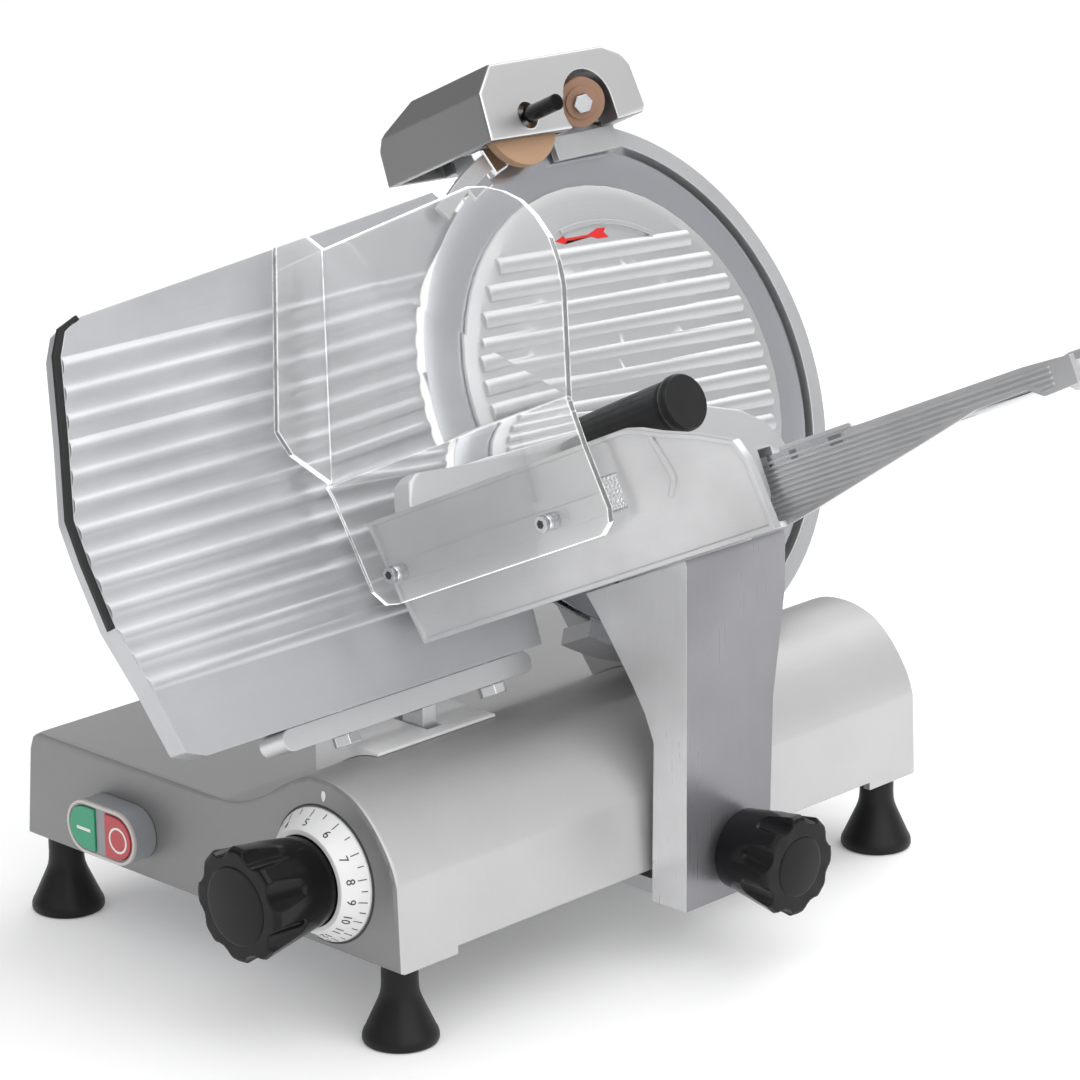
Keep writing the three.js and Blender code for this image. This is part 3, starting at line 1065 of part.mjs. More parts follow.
// Push pin that presses the grinding stone onto the blade
const pinFoot = grindFront + stone.headHeight + 2 * gap;
add('sharpener_button', 'black', inHead(at(turned([[0, pinFoot], [button.stem, pinFoot],
  [button.stem, pinFoot + button.reach], [button.radius, pinFoot + button.reach],
  [button.radius, pinFoot + button.reach + button.cap], [0, pinFoot + button.reach + button.cap]],
    coarsePitch),
grindX, grindY, 0)));

group.updateMatrixWorld(true);
const bounds = new THREE.Box3().setFromObject(group);
const middle = bounds.getCenter(new THREE.Vector3());
group.position.set(-middle.x, -middle.y, -bounds.min.z);

export default group;
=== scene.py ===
"""Looks for the gravity feed slicer: finishes, printed marks, small fittings, light and camera.

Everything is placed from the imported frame, in metres, in the frame's own axes. The blade, the gauge
plate and the tray lean together; their pieces are placed in a leaned frame on the blade's centre:
x along the machine, y up the blade's face and z out of the blade's face. The pieces are drawn in
millimetres, each in a frame of its own.
"""

import json
import logging
import math
from dataclasses import dataclass, field
from enum import Enum
from typing import Callable, Dict, List, Optional, Sequence, Tuple

import bmesh
import bpy
from mathutils import Matrix, Quaternion, Vector
from mathutils.bvhtree import BVHTree


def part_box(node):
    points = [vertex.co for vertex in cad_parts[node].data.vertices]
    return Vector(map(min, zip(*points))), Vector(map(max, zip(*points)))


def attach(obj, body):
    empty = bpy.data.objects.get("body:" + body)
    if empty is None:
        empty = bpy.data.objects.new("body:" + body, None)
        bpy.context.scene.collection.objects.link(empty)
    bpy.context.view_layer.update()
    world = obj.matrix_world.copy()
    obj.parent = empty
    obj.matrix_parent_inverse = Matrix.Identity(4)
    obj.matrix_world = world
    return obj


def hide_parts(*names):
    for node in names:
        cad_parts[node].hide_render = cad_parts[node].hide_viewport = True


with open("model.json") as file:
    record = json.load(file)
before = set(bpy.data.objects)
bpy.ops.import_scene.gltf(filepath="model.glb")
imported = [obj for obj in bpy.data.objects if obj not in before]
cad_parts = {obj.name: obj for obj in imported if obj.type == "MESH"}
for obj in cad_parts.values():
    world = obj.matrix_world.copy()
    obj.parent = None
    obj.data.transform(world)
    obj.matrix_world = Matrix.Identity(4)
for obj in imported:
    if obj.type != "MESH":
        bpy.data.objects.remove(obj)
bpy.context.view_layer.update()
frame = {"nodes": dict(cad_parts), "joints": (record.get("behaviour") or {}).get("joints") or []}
LOG = logging.getLogger("slicer")

Point2 = Tuple[float, float]
Triple = Tuple[float, float, float]
Node, Socket = bpy.types.Node, bpy.types.NodeSocket
Material, Object = bpy.types.Material, bpy.types.Object
Ring = List[Vector]
MM = 0.001


def shift(x: float, y: float, z: float) -> Matrix:
    """Gives a move by millimetres."""
    return Matrix.Translation(Vector((x, y, z)) * MM)


def stand(name: str, data: bpy.types.ID) -> Object:
    """Puts a mesh, light or camera into the scene.

    Args:
        name: the object's name.
        data: what it holds.

    Returns:
        Object: the object.
    """
    made = bpy.data.objects.new(name, data)
    bpy.context.scene.collection.objects.link(made)
    return made


class Axis(Enum):
    """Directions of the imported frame."""

    X = (1.0, 0.0, 0.0)
    Y = (0.0, 1.0, 0.0)
    Z = (0.0, 0.0, 1.0)

    @property
    def vector(self) -> Vector:
        """Gives the direction as a vector."""
        return Vector(self.value)


class Frames:
    """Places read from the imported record: the blade's centre, the lean, the dial and the lock knob."""

    def __init__(self) -> None:
        joints = {joint["name"]: joint for joint in frame["joints"]}
        self.blade = Vector(joints["blade_spin"]["pos_m"])
        self.out = Vector(joints["blade_spin"]["axis"]).normalized()
        self.up = self.out.cross(Axis.Y.vector)
        self.dial = Vector(joints["dial_turn"]["pos_m"])
        self.lock = Vector(joints["lock_knob_turn"]["pos_m"])

    def head(self, x: float = 0.0, y: float = 0.0, z: float = 0.0) -> Matrix:
        """Gives the leaned frame on the blade's centre, moved by millimetres along its own axes."""
        return self.oriented(self.blade, Axis.Y.vector, self.up, self.out) @ shift(x, y, z)

    def end(self, origin: Vector) -> Matrix:
        """Gives a frame on the end face: x to the right, y up and z towards the operator."""
        return self.oriented(origin, Axis.X.vector, Axis.Z.vector, -Axis.Y.vector)

    def side(self, origin: Vector) -> Matrix:
        """Gives a frame on the right side: x away from the operator, y up and z to the right."""
        return self.oriented(origin, Axis.Y.vector, Axis.Z.vector, Axis.X.vector)

    @staticmethod
    def oriented(origin: Vector, x: Vector, y: Vector, z: Vector) -> Matrix:
        """Builds a frame from its origin and its three directions."""
        return Matrix.Translation(origin) @ Matrix((x, y, z)).transposed().to_4x4()


PLACES = Frames()


class Shader:
    """A small builder of shader nodes for one material or one node group."""

    def __init__(self, tree: bpy.types.NodeTree) -> None:
        self.tree = tree

    def fill(self, node: Node, feeds: Dict[object, object]) -> Node:
        """Gives inputs of a node a link or a constant.

        Args:
            node: the node.
            feeds: an output socket or a constant for each input, by its name or number.

        Returns:
            Node: the node.
        """
        for name, value in feeds.items():
            if isinstance(value, Socket):
                self.tree.links.new(value, node.inputs[name])
            else:
                node.inputs[name].default_value = value
        return node

    def node(self, kind: str, feeds: Optional[Dict[object, object]] = None, **settings: object) -> Node:
        """Adds a node, sets its properties and fills its inputs.

        Args:
            kind: the node's type name.
            feeds: what its inputs take.
            **settings: properties of the node.

        Returns:
            Node: the new node.
        """
        made = self.tree.nodes.new(kind)
        for name, value in settings.items():
            setattr(made, name, value)
        return self.fill(made, feeds or {})

    def place(self, kind: str = "Object") -> Socket:
        """Gives coordinates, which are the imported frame's own ones for an object."""
        return self.node("ShaderNodeTexCoord").outputs[kind]

    def facing(self, kind: str = "Normal") -> Socket:
        """Gives the direction that a surface looks in."""
        return self.node("ShaderNodeNewGeometry").outputs[kind]

    def math(self, operation: str, a: object, b: object = 0.0, c: object = 0.0) -> Socket:
        """Adds the named sum on values."""
        return self.node("ShaderNodeMath", {0: a, 1: b, 2: c}, operation=operation).outputs[0]

    def vector(self, operation: str, a: object, b: object = (0.0, 0.0, 0.0)) -> Socket:
        """Adds the named sum on vectors, which gives a value for a length or a dot product."""
        made = self.node("ShaderNodeVectorMath", {0: a, 1: b}, operation=operation)
        return made.outputs["Value" if operation in ("DOT_PRODUCT", "LENGTH") else "Vector"]

    def noise(self, place: Socket, scale: object, detail: float, name: str = "Vector",
              **settings: object) -> Socket:
        """Adds a noise of about 0.5 on average, with its coordinates in the named input."""
        feeds = {name: place, "Scale": scale, "Detail": detail}
        return self.node("ShaderNodeTexNoise", feeds, **settings).outputs["Fac"]

    def span(self, value: Socket, low: float, high: float, to_low: float = 0.0, to_high: float = 1.0) -> Socket:
        """Maps a value from one range to another."""
        ends = {"From Min": low, "From Max": high, "To Min": to_low, "To Max": to_high}
        return self.node("ShaderNodeMapRange", {"Value": value, **ends}).outputs["Result"]

    def mix(self, amount: object, a: object, b: object) -> Socket:
        """Mixes two colours, with that much of the second."""
        return self.node("ShaderNodeMix", {0: amount, 6: a, 7: b}, data_type="RGBA").outputs[2]


def new_material(name: str) -> Tuple[Material, Shader, Node]:
    """Makes a plain material.

    Args:
        name: the material's name.

    Returns:
        Tuple[Material, Shader, Node]: it, its builder and its Principled node.
    """
    material = bpy.data.materials.new(name)
    material.use_nodes = True
    return material, Shader(material.node_tree), material.node_tree.nodes["Principled BSDF"]


def opaque(colour: Triple) -> Tuple[float, float, float, float]:
    """Gives a colour with full alpha."""
    return (*colour, 1.0)


def grey(level: float) -> Triple:
    """Gives a plain grey."""
    return (level, level, level)


class EffectGroup:
    """A shared effect as a shader node group with named inputs and outputs."""

    def __init__(self, name: str, inputs: Sequence[Tuple[str, str, object]],
                 outputs: Sequence[Tuple[str, str]]) -> None:
        self.group = bpy.data.node_groups.new(name, "ShaderNodeTree")
        for label, kind, value in inputs:
            socket = self.group.interface.new_socket(label, in_out="INPUT", socket_type=kind)
            socket.default_value = value
        for label, kind in outputs:
            self.group.interface.new_socket(label, in_out="OUTPUT", socket_type=kind)
        self.shader = Shader(self.group)
        self.entry = self.shader.node("NodeGroupInput").outputs
        self.exit = self.shader.node("NodeGroupOutput")

    def give(self, **results: Socket) -> "EffectGroup":
        """Links the group's outputs, and gives the group."""
        self.shader.fill(self.exit, results)
        return self

    def use(self, shader: Shader, **values: object) -> Node:
        """Places the group in a material, with what its inputs take."""
        return shader.node("ShaderNodeGroup", values, node_tree=self.group)


FLOAT, VECTOR = "NodeSocketFloat", "NodeSocketVector"

# Wear: an edge is bare where the rounded normal leaves the true one, broken up by a noise.
BEVEL_SAMPLES = 6
WORN_BY = (0.985, 0.84)
BREAK_SCALE, BREAK_DETAIL = 140.0, 4.0
BREAK_RANGE = (0.35, 0.65, 0.25, 1.0)
# Grain: a fine noise and a broad one, with their shares.
FINE_DETAIL, FINE_SHARE = 2.0, 0.6
BROAD_DETAIL, BROAD_SHARE, BROAD_SCALE = 3.0, 0.4, 0.21
GRAIN_RANGE = (0.3, 0.7)
# Handling: broad smears, and specks of dust on faces that look up.
SMEAR_DETAIL, SMEAR_RANGE = 5.0, (0.4, 0.72)
SPECK_SCALE, SPECK_DETAIL, SPECK_RANGE = 900.0, 2.0, (0.62, 0.75)
UPWARD_RANGE = (0.2, 1.0)
# Turning: rings round an axis.
RING_DETAIL, RING_RANGE = 3.0, (0.35, 0.65)


class Effects:
    """The effects that the finishes share."""

    def __init__(self) -> None:
        self.edge = self.soft_edge()
        self.grain = self.fine_grain()
        self.handled = self.handling()
        self.turned = self.turning()

    @staticmethod
    def soft_edge() -> EffectGroup:
        """Rounds sharp edges in the light and marks where they are worn.

        Returns:
            EffectGroup: with the outputs Normal and Wear.
        """
        made = EffectGroup("soft_edge", [("Radius", FLOAT, 0.0008)], [("Normal", VECTOR), ("Wear", FLOAT)])
        sh = made.shader
        bevel = sh.node("ShaderNodeBevel", {"Radius": made.entry["Radius"]}, samples=BEVEL_SAMPLES)
        rounded = bevel.outputs["Normal"]
        bare = sh.span(sh.vector("DOT_PRODUCT", rounded, sh.facing()), *WORN_BY)
        broken = sh.span(sh.noise(sh.place(), BREAK_SCALE, BREAK_DETAIL), *BREAK_RANGE)
        return made.give(Normal=rounded, Wear=sh.math("MULTIPLY", bare, broken))

    @staticmethod
    def fine_grain() -> EffectGroup:
        """Makes a directional or even grain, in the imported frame's axes.

        Returns:
            EffectGroup: with the outputs Height and Value.
        """
        inputs = [("Scale", FLOAT, 1200.0), ("Stretch", VECTOR, grey(1.0)), ("Turn", VECTOR, grey(0.0))]
        made = EffectGroup("fine_grain", inputs, [("Height", FLOAT), ("Value", FLOAT)])
        sh = made.shader
        feeds = {"Vector": sh.place(), "Rotation": made.entry["Turn"]}
        turn = sh.node("ShaderNodeMapping", feeds, vector_type="TEXTURE")
        drawn = sh.vector("MULTIPLY", turn.outputs["Vector"], made.entry["Stretch"])
        scale = made.entry["Scale"]
        fine = sh.noise(drawn, scale, FINE_DETAIL)
        broad = sh.noise(drawn, sh.math("MULTIPLY", scale, BROAD_SCALE), BROAD_DETAIL)
        both = sh.math("ADD", sh.math("MULTIPLY", fine, FINE_SHARE), sh.math("MULTIPLY", broad, BROAD_SHARE))
        return made.give(Height=both, Value=sh.span(both, *GRAIN_RANGE))

    @staticmethod
    def handling() -> EffectGroup:
        """Makes soft smears in broad patches, and dust on faces that look up.

        Returns:
            EffectGroup: with the outputs Smear and Dust.
        """
        made = EffectGroup("handling", [("Scale", FLOAT, 14.0)], [("Smear", FLOAT), ("Dust", FLOAT)])
        sh = made.shader
        place = sh.place()
        broad = sh.noise(place, made.entry["Scale"], SMEAR_DETAIL)
        specks = sh.span(sh.noise(place, SPECK_SCALE, SPECK_DETAIL), *SPECK_RANGE)
        split = sh.node("ShaderNodeSeparateXYZ", {0: sh.facing()})
        upward = sh.span(split.outputs["Z"], *UPWARD_RANGE)
        return made.give(Smear=sh.span(broad, *SMEAR_RANGE), Dust=sh.math("MULTIPLY", upward, specks))

    @staticmethod
    def turning() -> EffectGroup:
        """Makes the rings that a lathe leaves round the blade's axis.

        Returns:
            EffectGroup: with the outputs Height and Value.
        """
        inputs = [("Centre", VECTOR, tuple(PLACES.blade)), ("Axis", VECTOR, tuple(PLACES.out)),
                  ("Scale", FLOAT, 900.0)]
        made = EffectGroup("turning", inputs, [("Height", FLOAT), ("Value", FLOAT)])
        sh = made.shader
        arm = sh.vector("SUBTRACT", sh.place(), made.entry["Centre"])
        reach = sh.vector("LENGTH", sh.vector("CROSS_PRODUCT", arm, made.entry["Axis"]))
        rings = sh.noise(reach, made.entry["Scale"], RING_DETAIL, "W", noise_dimensions="1D")
        return made.give(Height=rings, Value=sh.span(rings, *RING_RANGE))


EFFECTS = Effects()

# What every finish has: how far a face looks in a direction before it takes that direction's painted light or
# shade colour, how much the grain darkens the colour, the dust's colour, the coat's roughness and the least
# roughness.
PAINTED_LIGHT_RANGE = (0.35, 0.9)
GRAIN_SHADE = -0.03
DUST_COLOUR = (0.7, 0.68, 0.64)
COAT_ROUGHNESS = 0.08
LEAST_ROUGHNESS = 0.02


@dataclass(frozen=True)
class Finish:
    """A finish: base colour and gloss, with grain, worn edges and handling on top, and painted light and shade
    on faces that look in given directions.

    Args:
        name: the material's name.
        colour: the base colour.
        roughness: the mean roughness.
        metallic: 1 for bare metal.
        grain_scale: how fine the grain is, per metre.
        grain_depth: how deep the grain is, in metres.
        stretch: how the grain is drawn out along each axis.
        turn: rotation of the grain, in radians.
        spread: how much the grain changes the roughness.
        worn: the colour of worn edges.
        worn_amount: how strongly the edges are worn.
        edge: the radius of the rounded edges, in metres.
        dust: how much dust lies on faces that look up.
        coat: weight of a clear coat.
        turned: whether rings of a lathe replace the grain.
        faces: directions whose faces take a colour of their own, painted light and painted shade for how the
            light falls on that side.
        gloss: how strongly a bare face that is no metal reflects.
        patches: how much darker the broad cloudy patches are.
    """

    name: str
    colour: Triple
    roughness: float
    metallic: float = 0.0
    grain_scale: float = 1600.0
    grain_depth: float = 0.00002
    stretch: Triple = (1.0, 1.0, 1.0)
    turn: Triple = (0.0, 0.0, 0.0)
    spread: float = 0.12
    worn: Triple = (0.8, 0.8, 0.8)
    worn_amount: float = 0.3
    edge: float = 0.0007
    dust: float = 0.03
    coat: float = 0.0
    turned: bool = False
    faces: Tuple[Tuple[Triple, Triple], ...] = ()
    gloss: float = 0.5
    patches: float = 0.06

    def tone(self, shader: Shader) -> object:
        """Gives the base colour, with painted light and painted shade on faces that look in the named
        directions.

        Args:
            shader: the material's builder.

        Returns:
            object: the colour, or the socket that holds it.
        """
        if not self.faces:
            return self.colour
        normal = shader.facing()
        painted_light_toned: object = opaque(self.colour)
        for direction, colour in self.faces:
            # Painted light and shade: faces that look in this direction take that direction's lighter or darker
            # colour.
            match = shader.vector("DOT_PRODUCT", normal, direction)
            painted_light_toned = shader.mix(shader.span(match, *PAINTED_LIGHT_RANGE), painted_light_toned, opaque(colour))
        return painted_light_toned

    def build(self) -> Material:
        """Makes the material.

        Returns:
            Material: the finished material.
        """
        material, shader, body = new_material(self.name)
        edge = EFFECTS.edge.use(shader, Radius=self.edge).outputs
        handled = EFFECTS.handled.use(shader).outputs
        if self.turned:
            grain = EFFECTS.turned.use(shader, Scale=self.grain_scale).outputs
        else:
            values = {"Scale": self.grain_scale, "Stretch": self.stretch, "Turn": self.turn}
            grain = EFFECTS.grain.use(shader, **values).outputs
        patchy = shader.math("MULTIPLY_ADD", handled["Smear"], -self.patches, 1.0)
        grainy = shader.math("MULTIPLY_ADD", grain["Value"], GRAIN_SHADE, patchy)
        # The base colour carries the painted light and shade of the faces.
        painted_light_toned = shader.vector("MULTIPLY", self.tone(shader), grainy)
        worn = shader.mix(shader.math("MULTIPLY", edge["Wear"], self.worn_amount), painted_light_toned, opaque(self.worn))
        dust = shader.math("MULTIPLY", handled["Dust"], self.dust)
        half = self.spread / 2
        rough = shader.span(grain["Value"], 0.0, 1.0, self.roughness - half, self.roughness + half)
        smeared = shader.math("MULTIPLY_ADD", handled["Smear"], half, rough)
        bump = shader.node("ShaderNodeBump", {
            "Strength": 1.0, "Distance": self.grain_depth, "Height": grain["Height"], "Normal": edge["Normal"]})
        shader.fill(body, {
            "Base Color": shader.mix(dust, worn, opaque(DUST_COLOUR)), "Metallic": self.metallic,
            "Roughness": shader.math("MAXIMUM", smeared, LEAST_ROUGHNESS), "Specular IOR Level": self.gloss,
            "Coat Weight": self.coat, "Coat Roughness": COAT_ROUGHNESS, "Normal": bump.outputs["Normal"]})
        return material


@dataclass(frozen=True)
class ClearSheet:
    """Clear acrylic sheet with fine scratches, whose sawn and rounded edges glow by emission: a painted
    highlight.

    Args:
        name: the material's name.
        tint: the colour of the sheet.
        faces: the directions that the sheet's broad faces look in.
        haze: the share of light that the sheet scatters.
        edge_light: how strongly the sawn and rounded edges glow, a painted highlight.
        edge: the radius of the rounded edges, in metres.
        edge_gain: how much the rounding adds to the painted highlight on an edge.
        flatness: how closely a broad face looks in its direction.
        smears: the smears' scale, their share of their own colour and the roughness that they add.
        smear_colour: the smears' own colour.
        scratches: how fine the scratches are, per metre, and how they are drawn out along each axis.
        scratch_range: the grain that is a scratch, and the roughness without and with one.
        sawn_rough: how much rougher a sawn edge is.
        index: the refractive index.
    """

    name: str
    tint: Triple
    faces: Tuple[Triple, ...]
    haze: float = 0.1
    edge_light: float = 0.85
    edge: float = 0.0012
    edge_gain: float = 1.6
    flatness: float = 0.9
    smears: Triple = (22.0, 0.3, 0.03)
    smear_colour: Triple = (0.95, 0.96, 0.96)
    scratches: Tuple[float, Triple] = (700.0, (1.0, 0.04, 0.3))
    scratch_range: Tuple[float, ...] = (0.8, 1.0, 0.015, 0.10)
    sawn_rough: float = 0.3
    index: float = 1.49

    def build(self) -> Material:
        """Makes the material.

        Returns:
            Material: the finished material.
        """
        material, shader, body = new_material(self.name)
        smear_scale, smear_share, smear_rough = self.smears
        scale, stretch = self.scratches
        smear = EFFECTS.handled.use(shader, Scale=smear_scale).outputs["Smear"]
        grain = EFFECTS.grain.use(shader, Scale=scale, Stretch=stretch)
        normal = shader.facing("True Normal")
        flat: object = 0.0
        for face in self.faces:
            match = shader.math("ABSOLUTE", shader.vector("DOT_PRODUCT", normal, face))
            flat = shader.math("MAXIMUM", flat, match)
        sawn = shader.math("LESS_THAN", flat, self.flatness)
        painted_glint_mask = EFFECTS.edge.use(shader, Radius=self.edge).outputs["Wear"]
        painted_glint = shader.math("MINIMUM", shader.math("MULTIPLY", painted_glint_mask, self.edge_gain), 1.0)
        share = shader.math("MULTIPLY", smear, smear_share)
        colour = shader.mix(share, opaque(self.tint), opaque(self.smear_colour))
        scratch = shader.span(grain.outputs["Value"], *self.scratch_range)
        used = shader.math("MULTIPLY_ADD", smear, smear_rough, scratch)
        rough = shader.math("MULTIPLY_ADD", sawn, self.sawn_rough, used)
        # Painted highlight: sawn and rounded edges glow white by emission.
        bright = shader.mix(shader.math("MAXIMUM", sawn, painted_glint), opaque(grey(0.0)), opaque(grey(1.0)))
        shader.fill(body, {"Base Color": colour, "Roughness": rough, "Emission Color": bright})
        body.inputs["Emission Strength"].default_value = self.edge_light
        body.inputs["Transmission Weight"].default_value = 1.0 - self.haze
        body.inputs["IOR"].default_value = self.index
        return material


END, RIGHT, TOP = (0.0, -1.0, 0.0), (1.0, 0.0, 0.0), (0.0, 0.0, 1.0)
LEAN = math.atan2(PLACES.out.z, PLACES.out.x)
GUARD_LEAN = math.radians(20.0)


def guard_faces() -> Tuple[Triple, ...]:
    """Gives the directions of the guard's three flat sheets."""
    leaned = Axis.Y.vector * math.cos(GUARD_LEAN) - PLACES.up * math.sin(GUARD_LEAN)
    return tuple(Axis.Y.vector), tuple(leaned), tuple(PLACES.out)


class Finishes(Enum):
    """Every finish: name, colour, roughness, metallic, scale and depth of the grain, and the rest by name."""

    # The end face is painted darker and the right side lighter: painted shade and painted light for the light
    # from the right.
    SATIN = Finish("satin_aluminium", (0.44, 0.436, 0.436), 0.42, 0.5, 2600.0, 0.000006, spread=0.06,
                   worn=grey(0.75), faces=((END, (0.27, 0.27, 0.272)), (RIGHT, (0.58, 0.58, 0.582))))
    HEAD = Finish("polished_casting", (0.68, 0.685, 0.695), 0.30, 0.72, 2200.0, 0.000003, spread=0.08,
                  patches=0.14)
    CAST = Finish("tumbled_casting", (0.72, 0.725, 0.73), 0.36, 0.75, 900.0, 0.00002, spread=0.08)
    # The column's right face is painted darker: painted shade.
    BRUSHED = Finish("upright_brushing", (0.88, 0.88, 0.885), 0.30, 0.5, 1500.0, 0.000002, spread=0.08,
                     stretch=(1.0, 1.0, 0.03), faces=((RIGHT, (0.29, 0.287, 0.305)),), patches=0.16)
    PLATE = Finish("drawn_plate", (0.56, 0.568, 0.585), 0.34, 0.65, 1500.0, 0.000002, spread=0.06,
                   stretch=(1.0, 0.02, 1.0), patches=0.16)
    TRAY = Finish("leaned_brushing", (0.64, 0.64, 0.645), 0.34, 0.6, 1500.0, 0.000003, spread=0.08,
                  stretch=(0.03, 1.0, 1.0), turn=(0.0, -LEAN, 0.0), patches=0.22)
    # The hood's dark base colour is painted shade for the dark reflections on its left side; the face out of
    # the blade's face is painted light and the top is painted half-lit.
    HOOD = Finish("ground_hood", (0.26, 0.26, 0.262), 0.30, 0.85, 2600.0, 0.000001, spread=0.04,
                  worn=grey(0.9), worn_amount=0.7, edge=0.0011,
                  faces=((tuple(PLACES.out), grey(0.86)), (TOP, grey(0.50))))
    BLADE = Finish("turned_blade", (0.60, 0.62, 0.65), 0.22, 0.88, 2200.0, 0.0000005, spread=0.04, turned=True)
    COVER = Finish("turned_cover", (0.60, 0.605, 0.61), 0.36, 0.75, 1500.0, 0.000004, spread=0.08, turned=True)
    STEEL = Finish("ground_steel", (0.55, 0.56, 0.58), 0.26, 1.0, 1400.0, 0.000006)
    CHROME = Finish("chrome", (0.86, 0.87, 0.88), 0.07, 1.0, 900.0, 0.000002, spread=0.05)
    BRONZE = Finish("bronze", (0.55, 0.38, 0.18), 0.3, 1.0)
    BLACK = Finish("moulded_black", (0.004, 0.004, 0.0045), 0.15, 0.0, 1100.0, 0.000001, spread=0.05,
                   worn=grey(0.03), edge=0.0012, dust=0.0, gloss=0.22)
    GRIP = Finish("worn_grip", (0.010, 0.010, 0.0105), 0.40, 0.0, 700.0, 0.00003, spread=0.2,
                  stretch=(0.06, 1.0, 0.3), turn=(0.0, LEAN, 0.0), worn=grey(0.06), dust=0.01, gloss=0.4)
    RUBBER = Finish("rubber", grey(0.006), 0.42, 0.0, 1500.0, 0.00002, worn=grey(0.03), dust=0.01, gloss=0.3)
    WHITE = Finish("moulded_white", grey(0.82), 0.32, 0.0, 1300.0, 0.000006, spread=0.06, worn=grey(0.9),
                   coat=0.2)
    BLOCK = Finish("switch_block", (0.30, 0.31, 0.33), 0.38, 0.0, 1300.0, 0.000008, worn=(0.5, 0.47, 0.45))
    BORDER = Finish("switch_border", (0.62, 0.57, 0.54), 0.35, 0.0, 1300.0, 0.000006, worn=(0.7, 0.68, 0.66))
    GREEN = Finish("button_green", (0.025, 0.33, 0.17), 0.34, 0.0, 1300.0, 0.000006, worn=(0.1, 0.5, 0.3),
                   coat=0.2)
    RED = Finish("button_red", (0.50, 0.055, 0.06), 0.34, 0.0, 1300.0, 0.000006, worn=(0.7, 0.2, 0.2),
                 coat=0.2)
    TAN_STONE = Finish("tan_stone", (0.46, 0.29, 0.18), 0.9, 0.0, 2400.0, 0.00015, worn=(0.56, 0.40, 0.28))
    BROWN_STONE = Finish("brown_stone", (0.34, 0.20, 0.135), 0.9, 0.0, 2400.0, 0.00015,
                         worn=(0.46, 0.30, 0.22))
    CAN = Finish("motor_can", (0.05, 0.05, 0.055), 0.45, 0.3)
    CLEAR = ClearSheet("clear_acrylic", (0.99, 0.995, 0.993), guard_faces())
    # Black for the printed ticks and figures, and painted shade in the dial's groove and the screws' sockets.
    INK = Finish("black_ink_and_painted_shade", grey(0.03), 0.5, 0.0, 2000.0, 0.000002, worn=grey(0.1))
    MARK = Finish("white_enamel", (0.85, 0.85, 0.84), 0.35, 0.0, 2000.0, 0.000002)
    ARROW = Finish("red_enamel", (0.72, 0.012, 0.012), 0.35, 0.0, 2000.0, 0.000002, worn=(0.8, 0.1, 0.1))
    SPARKLE = Finish("milled_square", (0.78, 0.79, 0.80), 0.2, 1.0, 620.0, 0.00004, spread=0.2)
    # Dark grey for the pieces in the tray wall's openings: painted shade.
    SHADE = Finish("painted_recess_shade", (0.22, 0.225, 0.23), 0.5, 0.3, 1500.0, 0.00001)


class Smoothing:
    """Shades curved faces smooth and keeps true edges sharp, below a limit in radians."""

    def __init__(self, limit: float = 0.56, weld_within: float = 0.000002) -> None:
        self.group = bpy.data.node_groups.new("smooth_below_limit", "GeometryNodeTree")
        for way in ("INPUT", "OUTPUT"):
            self.group.interface.new_socket("Geometry", in_out=way, socket_type="NodeSocketGeometry")
        builder = Shader(self.group)
        entry, leave = builder.node("NodeGroupInput"), builder.node("NodeGroupOutput")
        feeds = {"Geometry": entry.outputs[0], "Distance": weld_within}
        weld = builder.node("GeometryNodeMergeByDistance", feeds).outputs["Geometry"]
        faces = builder.node("GeometryNodeSetShadeSmooth", {"Geometry": weld}, domain="FACE")
        angle = builder.node("GeometryNodeInputMeshEdgeAngle").outputs["Unsigned Angle"]
        feeds = {"Geometry": faces.outputs["Geometry"], "Shade Smooth": builder.math("LESS_THAN", angle, limit)}
        edges = builder.node("GeometryNodeSetShadeSmooth", feeds, domain="EDGE")
        builder.fill(leave, {0: edges.outputs["Geometry"]})

    def apply(self, piece: Object) -> None:
        """Adds the smoothing to a piece as modifiers.

        Args:
            piece: the piece.
        """
        nodes = piece.modifiers.new("smooth", "NODES")
        nodes.node_group = self.group
        even = piece.modifiers.new("even_normals", "WEIGHTED_NORMAL")
        even.keep_sharp = True
        even.mode = "FACE_AREA"


SMOOTHING = Smoothing()


class Wardrobe:
    """Makes each finish once and puts it on pieces."""

    def __init__(self) -> None:
        self.made: Dict[str, Material] = {}

    def get(self, finish: Finishes) -> Material:
        """Gives the material of a finish.

        Args:
            finish: the finish.

        Returns:
            Material: its material.
        """
        if finish.name not in self.made:
            self.made[finish.name] = finish.value.build()
        return self.made[finish.name]

    def put(self, piece: Object, finish: Finishes) -> None:
        """Puts a finish on a piece.

        Args:
            piece: the piece.
            finish: the finish.
        """
        if piece.material_slots:
            for held in piece.material_slots:
                held.material = self.get(finish)
        else:
            piece.data.materials.append(self.get(finish))

    def dress(self, names: Sequence[str], finish: Finishes) -> None:
        """Puts a finish on CAD nodes and shades their curved faces smooth.

        Args:
            names: the nodes.
            finish: the finish.
        """
        for name in names:
            node = frame["nodes"][name]
            self.put(node, finish)
            SMOOTHING.apply(node)
            LOG.info("dressed %s in %s", name, finish.value.name)


WARDROBE = Wardrobe()


